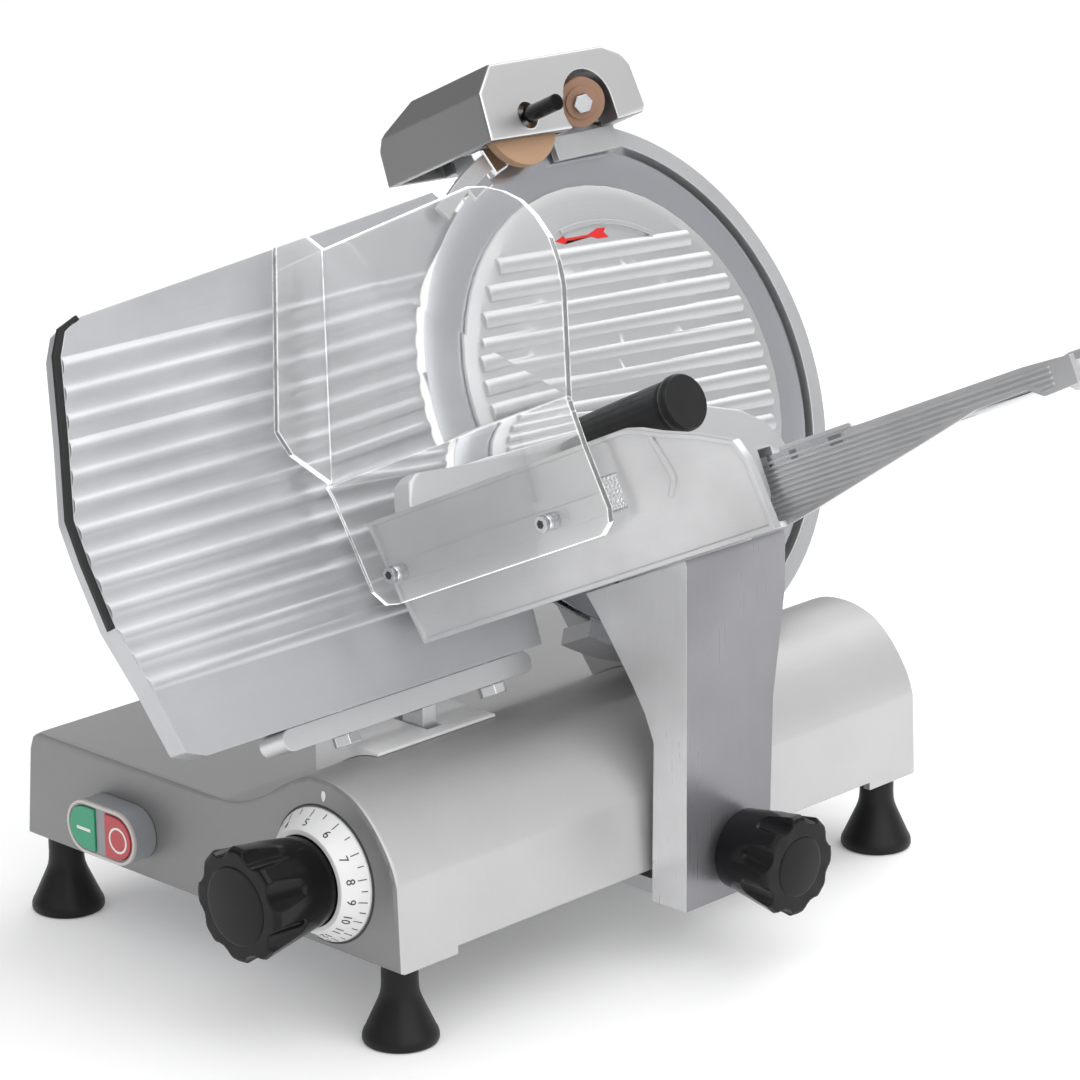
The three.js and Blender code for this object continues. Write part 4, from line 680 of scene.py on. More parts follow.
@dataclass
class Mesh:
    """Points and faces of a piece, in millimetres in its own frame.

    Args:
        points: the points.
        faces: the faces, as indices of points.
    """

    points: List[Vector] = field(default_factory=list)
    faces: List[Tuple[int, ...]] = field(default_factory=list)

    def add(self, other: "Mesh") -> None:
        """Adds another mesh beside this one.

        Args:
            other: the mesh to add.
        """
        start = len(self.points)
        self.points.extend(other.points)
        self.faces.extend(tuple(index + start for index in face) for face in other.faces)

    def moved(self, x: float, y: float) -> "Mesh":
        """Gives the mesh in another place of its plane."""
        return Mesh([point + Vector((x, y, 0.0)) for point in self.points], list(self.faces))

    @staticmethod
    def of_node(name: str, place: Matrix) -> "Mesh":
        """Reads a CAD node's mesh.

        Args:
            name: the node's name.
            place: the frame that the points are given in.

        Returns:
            Mesh: its points and faces.
        """
        source = frame["nodes"][name].data
        back = place.inverted()
        points = [back @ vertex.co / MM for vertex in source.vertices]
        return Mesh(points, [tuple(face.vertices) for face in source.polygons])


def arc(radius: float, start: float, end: float, steps: int, x: float = 0.0, y: float = 0.0) -> List[Point2]:
    """Lists the points of an arc round x, y between two angles in degrees, both ends included."""
    turns = [math.radians(start + (end - start) * i / steps) for i in range(steps + 1)]
    return [(x + radius * math.cos(turn), y + radius * math.sin(turn)) for turn in turns]


def circle(radius: float, steps: int) -> List[Point2]:
    """Draws a circle, or a regular outline with that many corners."""
    return arc(radius, 0, 360, steps)[:-1]


def stadium(width: float, height: float, steps: int = 16) -> List[Point2]:
    """Draws an oblong with round ends, each in that many steps."""
    radius, reach = height / 2, (width - height) / 2
    return arc(radius, -90, 90, steps, reach) + arc(radius, 90, 270, steps, -reach)


def oblong(left: float, low: float, right: float, high: float) -> List[Point2]:
    """Draws a rectangle."""
    return [(left, low), (right, low), (right, high), (left, high)]


def ring_at(outline: Sequence[Point2], z: float) -> Ring:
    """Lifts an outline to a height."""
    return [Vector((x, y, z)) for x, y in outline]


def loft(rings: Sequence[Ring], joined: bool = False) -> Mesh:
    """Skins rings that have the same number of points, and fills both ends.

    Args:
        rings: the rings in order.
        joined: whether the last ring runs on into the first, so that no end is filled.

    Returns:
        Mesh: the skin.
    """
    count = len(rings[0])
    made = Mesh([point for ring in rings for point in ring])
    for i in range(len(rings) if joined else len(rings) - 1):
        a, b = i * count, (i + 1) % len(rings) * count
        for k in range(count):
            n = (k + 1) % count
            made.faces.append((a + k, a + n, b + n, b + k))
    if not joined:
        last = (len(rings) - 1) * count
        made.faces += [tuple(reversed(range(count))), tuple(range(last, last + count))]
    return made


def turned(profile: Sequence[Point2], steps: int = 64, joined: bool = False, least: float = 0.001) -> Mesh:
    """Turns a profile of radius and height round z.

    Args:
        profile: the profile, upwards.
        steps: steps in the round.
        joined: whether the profile closes on itself.
        least: the radius that stands for a point on the axis.

    Returns:
        Mesh: the turned form.
    """
    turns = [2 * math.pi * i / steps for i in range(steps)]
    rings = [ring_at([(max(r, least) * math.cos(turn), max(r, least) * math.sin(turn)) for turn in turns], z)
             for r, z in profile]
    return loft(rings, joined)


def shrunk(outline: Sequence[Point2], margin: float, same: float = 1e-6, sharpest: float = 0.3) -> List[Point2]:
    """Draws an outline smaller by a margin.

    Args:
        outline: the outline, anticlockwise.
        margin: how far it moves in.
        same: the distance below which two corners count as one.
        sharpest: the least share that holds back the move of a sharp corner.

    Returns:
        List[Point2]: the smaller outline.
    """
    made = []
    for i, (x, y) in enumerate(outline):
        here = Vector((x, y))
        first, second = here - Vector(outline[i - 1]), Vector(outline[(i + 1) % len(outline)]) - here
        if first.length < same or second.length < same:
            made.append((x, y))
            continue
        first.normalize()
        second.normalize()
        inward = Vector((-first.y - second.y, first.x + second.x))
        scale = margin / max(sharpest, inward.length_squared / 2)
        made.append((x + inward.x * scale, y + inward.y * scale))
    return made


def slab(outline: Sequence[Point2], low: float, high: float, soft: float = 0.0) -> Mesh:
    """Stands an outline up between two heights, with a small chamfer on top.

    Args:
        outline: the outline, anticlockwise.
        low: the foot.
        high: the top.
        soft: the chamfer.

    Returns:
        Mesh: the slab.
    """
    rings = [ring_at(outline, low), ring_at(outline, high - soft)]
    if soft > 0:
        rings.append(ring_at(shrunk(outline, soft), high))
    return loft(rings)


def band(outer: Sequence[Point2], inner: Sequence[Point2], low: float, high: float) -> Mesh:
    """Stands the strip between two outlines with as many points up between two heights."""
    return loft([ring_at(outer, low), ring_at(outer, high), ring_at(inner, high), ring_at(inner, low)], True)


def cap_disc(radius: float) -> Mesh:
    """Draws the round plug that closes a knob's cap, with a softened edge."""
    edge = [(radius, -0.5), (radius, 0.15), (radius - 0.25, 0.4), (radius - 0.7, 0.5)]
    return turned([(0.0, -0.5), *edge, (0.0, 0.62)], 72)


class Maker:
    """Turns meshes into pieces that ride on the frame's bodies.

    Points within WELD_WITHIN metres count as one. A figure's size in the font is SIZE_PER_HEIGHT times its
    height, and a curve in it has CURVE_STEPS.
    """

    WELD_WITHIN = 0.000001
    SIZE_PER_HEIGHT = 1.38
    CURVE_STEPS = 4

    @classmethod
    def piece(cls, name: str, mesh: Mesh, place: Matrix, finish: Finishes, body: str, slot: str,
              crease: float = 35.0) -> Object:
        """Makes a piece.

        Args:
            name: the piece's name.
            mesh: its mesh, in millimetres in its own frame.
            place: where its frame stands.
            finish: its finish.
            body: the body that it rides on.
            slot: the name of a slot in the record; not used.
            crease: the angle above which an edge stays sharp, in degrees.

        Returns:
            Object: the piece.
        """
        data = bpy.data.meshes.new(name)
        data.from_pydata([place @ (point * MM) for point in mesh.points], [], mesh.faces)
        shape = bmesh.new()
        shape.from_mesh(data)
        bmesh.ops.remove_doubles(shape, verts=shape.verts, dist=cls.WELD_WITHIN)
        bmesh.ops.recalc_face_normals(shape, faces=shape.faces)
        shape.to_mesh(data)
        shape.free()
        data.shade_smooth()
        data.set_sharp_from_angle(angle=math.radians(crease))
        piece = stand(name, data)
        WARDROBE.put(piece, finish)
        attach(piece, body)
        LOG.info("made %s on %s", name, body)
        return piece

    @classmethod
    def letters(cls, text: str, height: float) -> Mesh:
        """Draws generic figures flat, centred on the origin.

        Args:
            text: the figures.
            height: their height in millimetres.

        Returns:
            Mesh: the filled outlines, in the plane z = 0.
        """
        data = bpy.data.curves.new("figures", "FONT")
        data.body = text
        data.align_x, data.align_y = "CENTER", "CENTER"
        data.size = height * cls.SIZE_PER_HEIGHT
        data.resolution_u = cls.CURVE_STEPS
        holder = stand("figures", data)
        drawn = holder.to_mesh()
        made = Mesh([vertex.co.copy() for vertex in drawn.vertices])
        made.faces = [tuple(face.vertices) for face in drawn.polygons]
        holder.to_mesh_clear()
        bpy.data.objects.remove(holder)
        bpy.data.curves.remove(data)
        return made

    @staticmethod
    def thick(flat: Mesh, lift: Callable[[Vector, float], Vector], depth: float) -> Mesh:
        """Gives a flat drawing a thickness on a curved face.

        Args:
            flat: the drawing.
            lift: maps a point and a height above the face to its place.
            depth: how far the drawing stands proud, and how far it reaches in.

        Returns:
            Mesh: a closed mesh.
        """
        count = len(flat.points)
        made = Mesh([lift(point, way) for way in (depth, -depth) for point in flat.points])
        for face in flat.faces:
            made.faces += [face, tuple(index + count for index in reversed(face))]
        sides = dict.fromkeys(pair for face in flat.faces for pair in zip(face, face[1:] + face[:1]))
        made.faces += [(b, a, a + count, b + count) for a, b in sides if (b, a) not in sides]
        return made


class Skin:
    """A CAD node's surface, for drawings that lie on it.

    A ray starts at the height ABOVE, and a filled outline has CUTS in each of its first sides.
    """

    ABOVE = 60.0
    CUTS = 2

    def __init__(self, node: str, place: Matrix) -> None:
        source = Mesh.of_node(node, place)
        self.tree = BVHTree.FromPolygons(source.points, source.faces)

    def lift(self, point: Vector, height: float) -> Vector:
        """Finds the place at a height above the surface."""
        met = self.tree.ray_cast(Vector((point.x, point.y, self.ABOVE)), -Axis.Z.vector)[0]
        return Vector((point.x, point.y, (met.z if met else point.z) + height))

    @classmethod
    def filled(cls, outline: Sequence[Point2]) -> Mesh:
        """Fills an outline with small triangles.

        Args:
            outline: the outline.

        Returns:
            Mesh: the filled drawing.
        """
        shape = bmesh.new()
        shape.faces.new([shape.verts.new((x, y, 0.0)) for x, y in outline])
        bmesh.ops.triangulate(shape, faces=shape.faces)
        bmesh.ops.subdivide_edges(shape, edges=shape.edges, cuts=cls.CUTS, use_grid_fill=True)
        bmesh.ops.triangulate(shape, faces=shape.faces)
        bmesh.ops.recalc_face_normals(shape, faces=shape.faces)
        shape.verts.index_update()
        made = Mesh([vertex.co.copy() for vertex in shape.verts])
        made.faces = [tuple(vertex.index for vertex in face.verts) for face in shape.faces]
        shape.free()
        return made


class Assembly:
    """A sub-assembly: CAD nodes that are dressed, and pieces that are built on them."""

    finishes: Dict[Finishes, Tuple[str, ...]] = {}

    def dress(self) -> None:
        """Puts the finishes on the assembly's CAD nodes."""
        for finish, names in self.finishes.items():
            WARDROBE.dress(names, finish)

    def build(self) -> None:
        """Builds the pieces that the CAD does not hold; an assembly without such pieces builds nothing."""


@dataclass
class BaseUnit(Assembly):
    """Base casting with its feet, plate, rails, motor and switch.

    Args:
        switch_place: the switch's centre on the end face and off it, from the dial's axis.
        switch_size: the block's width and height.
        border: how much larger than the block the border is, and how much smaller its opening is.
        border_span: the border's foot and top, from the block's face.
        bar: the I mark's outline.
        ring: the O mark's radii, steps and centre.
        mark_span: the foot and top of both marks, from the block's face.
        marker: the outline of the marker above the dial.
        marker_place: its place from the dial's axis.
        marker_span: its foot, top and chamfer.
        foot_profile: the radius and height of a foot, upwards.
    """

    switch_place: Triple = (-144.5, -13.5, 13.9)
    switch_size: Point2 = (50.4, 27.0)
    border: Point2 = (0.1, 3.0)
    border_span: Point2 = (-1.2, 0.5)
    bar: Tuple[float, ...] = (-5.0, -0.8, 5.0, 0.8)
    bar_place: Point2 = (-12.0, -0.8)
    ring_radii: Point2 = (6.6, 5.5)
    ring_place: Point2 = (13.6, -0.5)
    ring_steps: int = 40
    mark_span: Point2 = (0.4, 1.15)
    marker: Tuple[Point2, ...] = (
        (-0.3, -3.2), (1.0, -1.4), (1.5, 0.4), (1.1, 1.9), (0.0, 2.5), (-1.1, 1.9), (-1.5, 0.4), (-1.2, -1.4))
    marker_place: Triple = (0.5, 38.5, 0.0)
    marker_span: Triple = (-0.5, 0.35, 0.3)
    foot_profile: Tuple[Point2, ...] = (
        (0.0, 0.0), (16.6, 0.0), (17.7, 0.5), (18.25, 1.6), (18.2, 3.6), (17.7, 5.2), (16.9, 6.6),
        (10.7, 20.4), (9.5, 23.6), (9.0, 26.5), (8.8, 30.0), (8.8, 39.6), (0.0, 39.6))

    finishes = {
        Finishes.SATIN: ("base_casting",),
        Finishes.STEEL: ("bottom_plate", "rail_main", "rail_guide", "gauge_rod_1", "gauge_rod_2", "tilt_pin",
                         "motor_spindle"),
        Finishes.CAST: ("slide_block",),
        Finishes.WHITE: ("post_collar",),
        Finishes.RUBBER: ("drive_belt",),
        Finishes.CAN: ("motor",),
        Finishes.BLOCK: ("switch_surround",),
        Finishes.GREEN: ("button_on",),
        Finishes.RED: ("button_off",),
    }

    def build(self) -> None:
        """Builds the switch's border and marks, the four feet and the marker above the dial."""
        dial = PLACES.end(PLACES.dial)
        switch = dial @ shift(*self.switch_place)
        width, height = self.switch_size
        over, rim = self.border
        outer, inner = stadium(width + over, height + over), stadium(width - rim, height - rim)
        border = band(outer, inner, *self.border_span)
        Maker.piece("switch_border", border, switch, Finishes.BORDER, "base", "white_plastic")
        bar = slab(oblong(*self.bar), *self.mark_span).moved(*self.bar_place)
        Maker.piece("on_mark", bar, switch, Finishes.MARK, "on_button", "white_plastic")
        outer, inner = (circle(radius, self.ring_steps) for radius in self.ring_radii)
        ring = band(outer, inner, *self.mark_span).moved(*self.ring_place)
        Maker.piece("off_mark", ring, switch, Finishes.MARK, "off_button", "white_plastic")
        for foot in ("left_front", "left_rear", "right_front", "right_rear"):
            low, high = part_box(f"foot_{foot}")
            place = Matrix.Translation(((low[0] + high[0]) / 2, (low[1] + high[1]) / 2, low[2]))
            pad = Maker.piece(f"pad_{foot}", turned(self.foot_profile), place, Finishes.RUBBER, "base",
                              "black_rubber")
            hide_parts(f"foot_{foot}")
        Maker.piece("dial_marker", slab(self.marker, *self.marker_span), dial @ shift(*self.marker_place),
                    Finishes.MARK, "base", "white_plastic")


@dataclass
class BladeUnit(Assembly):
    """Blade, cover, head casting and drive.

    Args:
        arrow: the outline of the arrow on the cover.
        arrow_lift: how far the arrow stands proud.
        parts: the polished parts at the ring guard's end, as radii, angles, and foot and top.
        part_steps: steps in their arcs.
        part_soft: the chamfer on their top.
        part_crease: the angle above which their edges stay sharp, in degrees.
    """

    arrow: Tuple[Point2, ...] = (
        (-20.7, 78.5), (-15.1, 75.9), (-12.9, 77.4), (4.1, 76.6), (8.1, 74.8), (15.7, 74.3), (13.6, 77.4),
        (15.7, 79.4), (9.9, 80.0), (2.4, 78.0), (-13.3, 78.6), (-14.3, 80.3))
    arrow_lift: float = 0.15
    parts: Tuple[Tuple[str, Point2, Point2, Point2], ...] = (
        ("ring_end_block", (124.5, 139.5), (104.6, 109.4), (-4.0, 3.6)),
        ("ring_end_clip", (121.0, 135.5), (110.6, 118.0), (-4.0, 1.6)))
    part_steps: int = 4
    part_soft: float = 1.0
    part_crease: float = 20.0

    finishes = {
        Finishes.HEAD: ("blade_head",),
        Finishes.BLADE: ("blade",),
        Finishes.COVER: ("blade_cover",),
        Finishes.STEEL: ("blade_shaft", "motor_pulley", "tie_bolt", "slice_deflector"),
        Finishes.CAST: ("blade_pulley",),
        Finishes.CHROME: ("bearing_rear", "bearing_front"),
        Finishes.BLACK: ("tie_knob",),
    }

    def build(self) -> None:
        """Builds the arrow on the cover and the polished parts at the ring's end."""
        skin = Skin("blade_cover", PLACES.head())
        arrow = Maker.thick(skin.filled(self.arrow), skin.lift, self.arrow_lift)
        Maker.piece("turning_arrow", arrow, PLACES.head(), Finishes.ARROW, "blade", "red_plastic")
        for name, (inner, outer), (start, end), span in self.parts:
            outline = arc(outer, start, end, self.part_steps) + arc(inner, end, start, self.part_steps)
            Maker.piece(name, slab(outline, *span, self.part_soft), PLACES.head(), Finishes.CHROME, "base",
                        "chromed_steel", self.part_crease)


@dataclass
class GaugeUnit(Assembly):
    """Gauge plate, its bar and carrier, and the thickness dial.

    Args:
        rim_radius: the dial cone's radius at its foot.
        neck_radius: the cone's radius at its top.
        foot: how far the cone's foot stands off the end face.
        top: how far its top stands off.
        figures: each figure and its angle, clockwise from the top, in degrees.
        figure_height: the figures' height.
        figure_place: how far up the slope the figures stand, from 0 to 1, and the cone's radius there.
        ticks_span: where the ticks start up the slope, and where long and short ones end.
        tick_half: half a tick's width.
        ink: how far ticks and figures stand proud.
        groove: the profile of the black ring that is painted shade in the groove round the dial, from the rim's
            radius.
        groove_steps: steps in the groove's round.
        cap_radius: the disc in the knob's cap.
        cap_face: how far the cap stands off the end face.
        trim_depth: how deep the black trim is, from the plate's front.
        trim_taper: the height above which the trim's end grows thin.
        trim_cut: the share of the rise above that height that is taken off.
    """

    rim_radius: float = 32.4
    neck_radius: float = 24.6
    foot: float = 1.5
    top: float = 12.3
    figures: Tuple[Tuple[int, float], ...] = (
        (1, -129.0), (2, -98.0), (3, -67.0), (4, -36.0), (5, -5.5), (6, 24.5), (7, 55.5), (8, 78.5),
        (9, 99.5), (10, 120.5), (11, 140.5), (12, 160.0), (13, 179.0))
    figure_height: float = 4.3
    figure_place: Point2 = (0.66, 27.3)
    ticks_span: Triple = (0.08, 0.40, 0.30)
    tick_half: float = 0.22
    ink: float = 0.08
    groove: Tuple[float, ...] = (0.4, -0.3, 1.3, 0.12)
    groove_steps: int = 96
    cap_radius: float = 19.0
    cap_face: float = 55.3
    trim_depth: float = 2.2
    trim_taper: float = 93.0
    trim_cut: float = 0.3

    finishes = {
        Finishes.PLATE: ("gauge_plate",),
        Finishes.BLACK: ("dial_knob",),
        Finishes.CAST: ("gauge_bar", "gauge_carrier", "scroll_cam"),
        Finishes.CHROME: ("gauge_bolt_1", "gauge_bolt_2"),
        Finishes.WHITE: ("dial_ring",),
        Finishes.STEEL: ("dial_shaft",),
    }

    def slope(self) -> Triple:
        """Gives how far the cone runs in, how far it rises, and how long its slope is."""
        run, rise = self.rim_radius - self.neck_radius, self.top - self.foot
        return run, rise, math.hypot(run, rise)

    def on_cone(self, turn: float, along: float, height: float) -> Vector:
        """Places a point on the dial's cone.

        Args:
            turn: the angle from the top, clockwise, in radians.
            along: the way up the slope, from 0 at the foot to 1.
            height: how far above the surface.

        Returns:
            Vector: the place in the dial's frame.
        """
        run, rise, slope = self.slope()
        radius = self.rim_radius - run * along + height * rise / slope
        depth = self.foot + rise * along + height * run / slope
        return Vector((radius * math.sin(turn), radius * math.cos(turn), depth))

    def ticks(self) -> Mesh:
        """Draws a long tick at each figure and a short one halfway to the next.

        Returns:
            Mesh: the ticks.
        """
        made = Mesh()
        start, long, short = self.ticks_span
        turns = [math.radians(turn) for _, turn in self.figures]
        marks = [(turn, long) for turn in turns] + [((a + b) / 2, short) for a, b in zip(turns, turns[1:])]
        half = self.tick_half / self.rim_radius
        for turn, end in marks:
            flat = Mesh(ring_at(oblong(turn - half, start, turn + half, end), 0.0), [(0, 1, 2, 3)])
            made.add(Maker.thick(flat, lambda point, height: self.on_cone(point.x, point.y, height), self.ink))
        return made

    def numbers(self) -> Mesh:
        """Draws the figures, each with its head towards the cone's foot.

        Returns:
            Mesh: the figures.
        """
        slope = self.slope()[2]
        middle, radius = self.figure_place
        made = Mesh()
        for value, turn in self.figures:

            def lift(point: Vector, height: float, turn: float = turn) -> Vector:
                return self.on_cone(math.radians(turn) + point.x / radius, middle - point.y / slope, height)

            made.add(Maker.thick(Maker.letters(str(value), self.figure_height), lift, self.ink))
        return made

    def trim(self) -> Mesh:
        """Draws the slim black trim on the plate's edge, on the same line as the solid one.

        Returns:
            Mesh: the trim, in the leaned frame.
        """
        made = Mesh.of_node("gauge_edge_trim", PLACES.head())
        back = max(point.z for point in made.points) - self.trim_depth
        for point in made.points:
            point.y -= self.trim_cut * max(0.0, point.y - self.trim_taper)
            point.z = max(point.z, back)
        return made

    def build(self) -> None:
        """Builds the plate's trim, the scale, a black ring as painted shade in the groove round the dial, and
        the disc in its knob.
        """
        dial = PLACES.end(PLACES.dial)
        edging = Maker.piece("plate_trim", self.trim(), PLACES.head(), Finishes.GRIP, "gauge", "black_plastic")
        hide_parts("gauge_edge_trim")
        Maker.piece("dial_ticks", self.ticks(), dial, Finishes.INK, "dial", "black_plastic")
        Maker.piece("dial_figures", self.numbers(), dial, Finishes.INK, "dial", "black_plastic")
        near, low, far, high = self.groove
        profile = oblong(self.rim_radius + near, low, self.rim_radius + far, high)
        groove = turned(profile, self.groove_steps, joined=True)
        # A thin black ring round the dial's foot: painted shade in the groove.
        Maker.piece("dial_groove_shade", groove, dial, Finishes.INK, "base", "black_plastic")
        Maker.piece("dial_cap", cap_disc(self.cap_radius), dial @ shift(0, 0, self.cap_face), Finishes.BLACK,
                    "dial", "black_plastic")


@dataclass
class CarriageUnit(Assembly):
    """Column, tray, clear guard, pusher and lock knob.

    Args:
        handle_place: the handle's foot in the leaned frame.
        handle_radius: the radius of its cap.
        handle_reach: its length.
        handle_profile: shares of its length, each with a share of its radius.
        handle_crease: the angle above which its edges stay sharp, in degrees.
        grooves: how many lengthwise grooves it has.
        groove_steps: steps round the handle in each groove's share of it.
        groove_depth: the grooves' depth, as a share of the radius.
        groove_span: the middle of the grooves, half their length and their end, as shares of the length.
        socket: the radius, foot and top of the black hexagons on the guard screws, painted shade in their
            sockets.
        square: the milled square's corner, width, height and floor, in the leaned frame.
        facets: how many facets the square has across and up.
        facet_waves: the waves that tilt the facets, each along x and along y.
        facet_rise: the waves' height.
        facet_depth: how far the square stands proud.
        facet_crease: the angle above which its edges stay sharp, in degrees.
        wall_face: how far along the machine the back wall's face stands.
        flange: the outline of the top flange, seen along the machine.
        flange_span: its foot, top and chamfer.
        strip: the band under it, as left, low, right and high.
        strip_span: its foot, top and chamfer.
        windows: dark pieces in the band's openings, painted shade, as left, low, right and high.
        windows_span: their foot, top and chamfer.
        cap_radius: the disc in the lock knob's cap.
        cap_face: how far the cap stands off the knob's foot.
    """

    handle_place: Triple = (-72.8, -21.0, 30.3)
    handle_radius: float = 14.0
    handle_reach: float = 80.0
    handle_profile: Tuple[Point2, ...] = (
        (0.0, 0.66), (0.01, 0.71), (0.05, 0.74), (0.3, 0.80), (0.5, 0.84), (0.7, 0.88), (0.88, 0.915),
        (0.905, 0.92), (0.915, 0.88), (0.925, 0.88), (0.932, 0.965), (0.94, 0.99), (0.96, 1.0), (0.985, 0.985),
        (1.0, 0.93))
    handle_crease: float = 50.0
    grooves: int = 20
    groove_steps: int = 6
    groove_depth: float = 0.022
    groove_span: Triple = (0.45, 0.44, 0.9)
    socket: Triple = (2.1, -0.4, 0.1)
    square: Tuple[float, ...] = (173.3, -61.7, 10.4, 15.4, -202.1)
    facets: Tuple[int, int] = (13, 19)
    facet_waves: Tuple[Point2, ...] = ((12.9, 7.3), (5.1, -17.7))
    facet_rise: float = 0.3
    facet_depth: float = 0.4
    facet_crease: float = 5.0
    wall_face: float = 51.0
    flange: Tuple[Point2, ...] = (
        (40.0, -54.5), (88.0, -54.5), *arc(1.2, -90, 90, 8, 89.8, -53.3), (40.0, -52.1))
    flange_span: Triple = (-0.6, 0.5, 0.2)
    strip: Tuple[float, ...] = (30.0, -61.0, 86.0, -54.4)
    strip_span: Triple = (-0.5, 0.35, 0.2)
    windows: Tuple[Tuple[float, ...], ...] = ((46.0, -60.7, 51.0, -55.5), (74.0, -60.7, 83.0, -55.5))
    windows_span: Triple = (0.1, 0.6, 0.15)
    cap_radius: float = 15.0
    cap_face: float = 43.0

    finishes = {
        Finishes.BRUSHED: ("carriage_column",),
        Finishes.TRAY: ("tray",),
        Finishes.CLEAR: ("guard",),
        Finishes.CHROME: ("pusher_rod", "rod_screw"),
        Finishes.BLACK: ("lock_knob",),
        Finishes.STEEL: ("lock_stud", "guard_screw_1", "guard_screw_2"),
        Finishes.CAST: ("pusher_arm",),
        Finishes.BRONZE: ("pusher_bush",),
    }

    def handle(self) -> Mesh:
        """Lofts the pusher's handle with its lengthwise grooves and its cap.

        Returns:
            Mesh: the handle.
        """
        middle, half, end = self.groove_span
        steps = self.grooves * self.groove_steps
        turns = [2 * math.pi * i / steps for i in range(steps)]
        rings = []
        for along, share in self.handle_profile:
            fade = max(0.0, 1.0 - abs(along - middle) / half) ** 0.5 if along < end else 0.0
            ring = []
            for turn in turns:
                dip = 1.0 - self.groove_depth * fade * max(0.0, math.cos(self.grooves * turn)) ** 2
                reach = self.handle_radius * share * dip
                ring.append(Vector((reach * math.cos(turn), reach * math.sin(turn), along * self.handle_reach)))
            rings.append(ring)
        return loft(rings)

    def milled(self) -> Mesh:
        """Draws the milled square's facets.

        Returns:
            Mesh: the facets, with the square's corner on the origin.
        """
        wide, tall = self.square[2:4]
        across, up = self.facets
        flat = Mesh()
        for k in range(up + 1):
            flat.points += [Vector((wide * i / across, tall * k / up, 0.0)) for i in range(across + 1)]
        for k in range(up):
            for i in range(across):
                corner = k * (across + 1) + i
                above = corner + across + 1
                flat.faces += [(corner, corner + 1, above + 1), (corner, above + 1, above)]

        def lift(point: Vector, height: float) -> Vector:
            rough = sum(math.sin(point.x * x + point.y * y) for x, y in self.facet_waves)
            return Vector((point.x, point.y, height + self.facet_rise * rough))

        return Maker.thick(flat, lift, self.facet_depth)

    def wall_parts(self) -> None:
        """Builds the flange, the band, and dark pieces as painted shade in the band's openings, at the top of
        the tray's back wall.
        """
        windows = Mesh()
        for window_shade in self.windows:
            windows.add(slab(oblong(*window_shade), *self.windows_span))
        wall = PLACES.head(self.wall_face) @ Matrix.Rotation(-math.pi / 2, 4, "Y")
        for name, mesh, finish in (("wall_flange", slab(self.flange, *self.flange_span), Finishes.TRAY),
                                   ("wall_band", slab(oblong(*self.strip), *self.strip_span), Finishes.STEEL),
                                   ("wall_window_shades", windows, Finishes.SHADE)):
            Maker.piece(name, mesh, wall, finish, "tray_arm", "anodised_aluminium")

    def build(self) -> None:
        """Builds the handle, black hexagons as painted shade in the screws' sockets, the tray's small parts and
        the knob's disc.
        """
        grip = Maker.piece("pusher_grip", self.handle(), PLACES.head(*self.handle_place), Finishes.GRIP,
                           "pusher", "black_plastic", self.handle_crease)
        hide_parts("pusher_handle")
        radius, *span = self.socket
        for number in (1, 2):
            low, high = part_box(f"guard_screw_{number}")
            middle = Vector(((low[0] + high[0]) / 2, low[1], (low[2] + high[2]) / 2))
            # A black hexagon in each screw head: painted shade in the socket.
            socket = slab(circle(radius, 6), *span)
            Maker.piece(f"screw_socket_shade_{number}", socket, PLACES.end(middle), Finishes.INK, "tray_arm",
                        "black_plastic")
        out, up, _, _, floor = self.square
        square = PLACES.head(floor) @ Matrix.Rotation(-math.pi / 2, 4, "Y") @ shift(out, up, 0.0)
        Maker.piece("milled_square", self.milled(), square, Finishes.SPARKLE, "tray_arm", "anodised_aluminium",
                    self.facet_crease)
        self.wall_parts()
        knob = PLACES.side(PLACES.lock) @ shift(0, 0, self.cap_face)
        Maker.piece("lock_cap", cap_disc(self.cap_radius), knob, Finishes.BLACK, "lock", "black_plastic")


class SharpenerUnit(Assembly):
    """Sharpener with its stones, spindles and push pin."""

    finishes = {
        Finishes.HOOD: ("sharpener_body",),
        Finishes.TAN_STONE: ("stone_grinding",),
        Finishes.BROWN_STONE: ("stone_honing",),
        Finishes.STEEL: ("spindle_grinding", "spindle_honing"),
        Finishes.BLACK: ("sharpener_button",),
    }


@dataclass(frozen=True)
class Lamp:
    """A soft rectangular light that looks at the slicer.

    Args:
        name: the light's name.
        place: where it hangs.
        size: its width and height.
        power: its power in watts.
        aim: the point that it looks at.
    """

    name: str
    place: Triple
    size: Point2
    power: float
    aim: Triple = (0.0, 0.0, 0.2)

    def build(self) -> None:
        """Hangs the light."""
        data = bpy.data.lights.new(self.name, "AREA")
        data.shape = "RECTANGLE"
        data.size, data.size_y = self.size
        data.energy = self.power
        lamp = stand(self.name, data)
        lamp.location = self.place
        lamp.rotation_mode = "QUATERNION"
        lamp.rotation_quaternion = (Vector(self.aim) - lamp.location).to_track_quat("-Z", "Y")


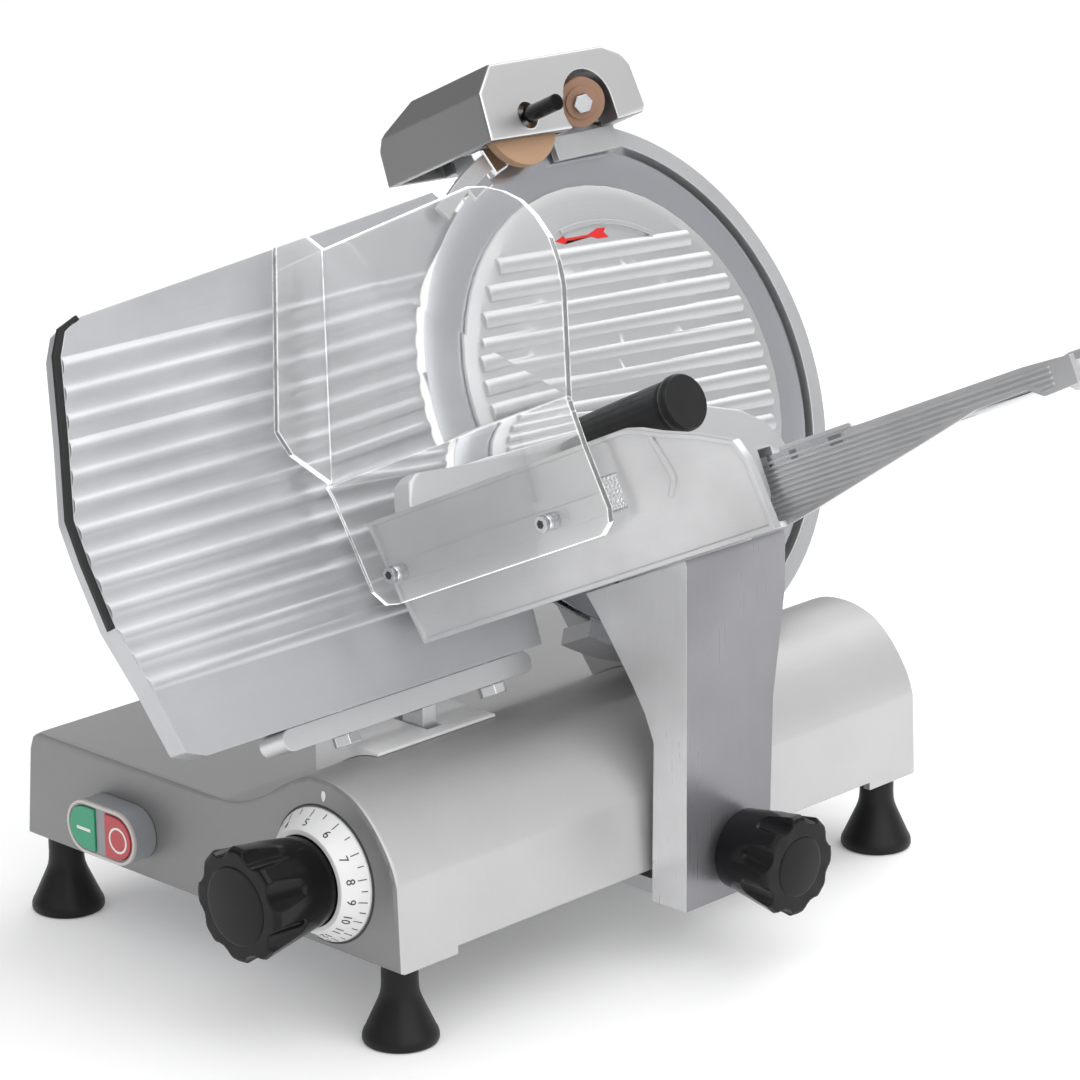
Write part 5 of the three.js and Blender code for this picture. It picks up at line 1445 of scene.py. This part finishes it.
@dataclass
class Studio:
    """Floor, lights, surroundings and camera.

    Args:
        floor_size: the floor's side, in metres.
        floor_glow: how strongly the floor shines by itself.
        lamps: the lights.
        horizon: the room's colour at the horizon and below.
        levels: how bright the room is at each height above the horizon, from 0 to 1.
        bluer: how much bluer than grey it is there.
        zenith: the height from which the room is white.
        lighter_side: the direction that the room is lighter in.
        lighter_range: how far towards that side, and how bright the room is at both ends.
        camera_from_blade: the camera's place from the blade's centre.
        azimuth: the camera's azimuth, in degrees.
        elevation: the camera's elevation, in degrees.
        roll: the camera's roll, in degrees.
        sensor: the sensor's width, in millimetres.
        lens: the focal length on that sensor.
        shift: the lens shift.
        clip: the nearest and the farthest distance that is seen, in metres.
    """

    floor_size: float = 14.0
    floor_glow: float = 0.14
    lamps: Tuple[Lamp, ...] = (
        Lamp("key", (2.1, -0.3, 2.3), (4.2, 4.2), 68.0),
        Lamp("front", (-0.6, -2.4, 2.2), (2.2, 1.4), 13.0),
        Lamp("rear", (-0.6, 2.2, 2.4), (3.2, 2.2), 34.0))
    horizon: Triple = (0.95, 0.95, 0.96)
    levels: Tuple[Point2, ...] = ((0.16, 0.60), (0.34, 0.40), (0.5, 0.42), (0.66, 0.9))
    bluer: float = 1.02
    zenith: float = 0.9
    lighter_side: Triple = (0.92, 0.2, 0.33)
    lighter_range: Tuple[float, ...] = (-0.6, 0.8, 0.55, 1.0)
    camera_from_blade: Triple = (1.4106, -1.4988, 0.5540)
    azimuth: float = 44.42
    elevation: float = 16.714
    roll: float = -0.536
    sensor: float = 36.0
    lens: float = 142.25
    shift: Point2 = (-0.0015, -0.0269)
    clip: Point2 = (0.05, 60.0)

    def floor(self) -> None:
        """Lays the plain pale floor."""
        half = self.floor_size / 2
        mesh = bpy.data.meshes.new("floor")
        mesh.from_pydata(ring_at(oblong(-half, -half, half, half), 0.0), [], [(0, 1, 2, 3)])
        piece = stand("floor", mesh)
        material, shader, body = new_material("floor")
        shader.fill(body, {
            "Base Color": opaque(grey(0.9)), "Roughness": 0.8, "Specular IOR Level": 0.2,
            "Emission Color": opaque(grey(1.0)), "Emission Strength": self.floor_glow})
        mesh.materials.append(material)

    def surroundings(self) -> None:
        """Sets a bright room that is lighter on the right than on the left."""
        world = bpy.data.worlds.new("room")
        bpy.context.scene.world = world
        world.use_nodes = True
        shader = Shader(world.node_tree)
        back = world.node_tree.nodes["Background"]
        place = shader.place("Generated")
        height = shader.node("ShaderNodeSeparateXYZ", {0: place}).outputs["Z"]
        ramp = shader.node("ShaderNodeValToRGB", {"Fac": height})
        first, last = ramp.color_ramp.elements
        first.position, first.color = 0.0, opaque(self.horizon)
        last.position, last.color = self.zenith, opaque(grey(1.0))
        for position, level in self.levels:
            stop = ramp.color_ramp.elements.new(position)
            stop.color = (level, level, level * self.bluer, 1.0)
        toward = shader.vector("DOT_PRODUCT", place, self.lighter_side)
        shaded = shader.vector("MULTIPLY", ramp.outputs["Color"], shader.span(toward, *self.lighter_range))
        shader.fill(back, {"Color": shaded, "Strength": 1.0})

    def camera(self) -> None:
        """Stands the camera at the photograph's viewing angle."""
        azimuth, elevation = math.radians(self.azimuth), math.radians(self.elevation)
        level = math.cos(elevation)
        back = Vector((math.sin(azimuth) * level, -math.cos(azimuth) * level, math.sin(elevation)))
        data = bpy.data.cameras.new("camera")
        data.sensor_width = self.sensor
        data.lens = self.lens
        data.shift_x, data.shift_y = self.shift
        data.clip_start, data.clip_end = self.clip
        eye = stand("camera", data)
        eye.location = PLACES.blade + Vector(self.camera_from_blade)
        eye.rotation_mode = "QUATERNION"
        rolled = Quaternion((0, 0, 1), math.radians(self.roll))
        eye.rotation_quaternion = (-back).to_track_quat("-Z", "Y") @ rolled
        bpy.context.scene.camera = eye
        bpy.context.scene.view_settings.view_transform = "Standard"

    def build(self) -> None:
        """Builds the whole studio."""
        self.floor()
        self.surroundings()
        for lamp in self.lamps:
            lamp.build()
        self.camera()


def main() -> None:
    """Builds the looks in order and reports each assembly."""
    logging.basicConfig(level=logging.INFO, format="%(name)s: %(message)s")
    Studio().build()
    for kind in (BaseUnit, BladeUnit, GaugeUnit, CarriageUnit, SharpenerUnit):
        unit = kind()
        unit.dress()
        unit.build()
        LOG.info("finished %s", kind.__name__)


if __name__ == "__main__":
    main()
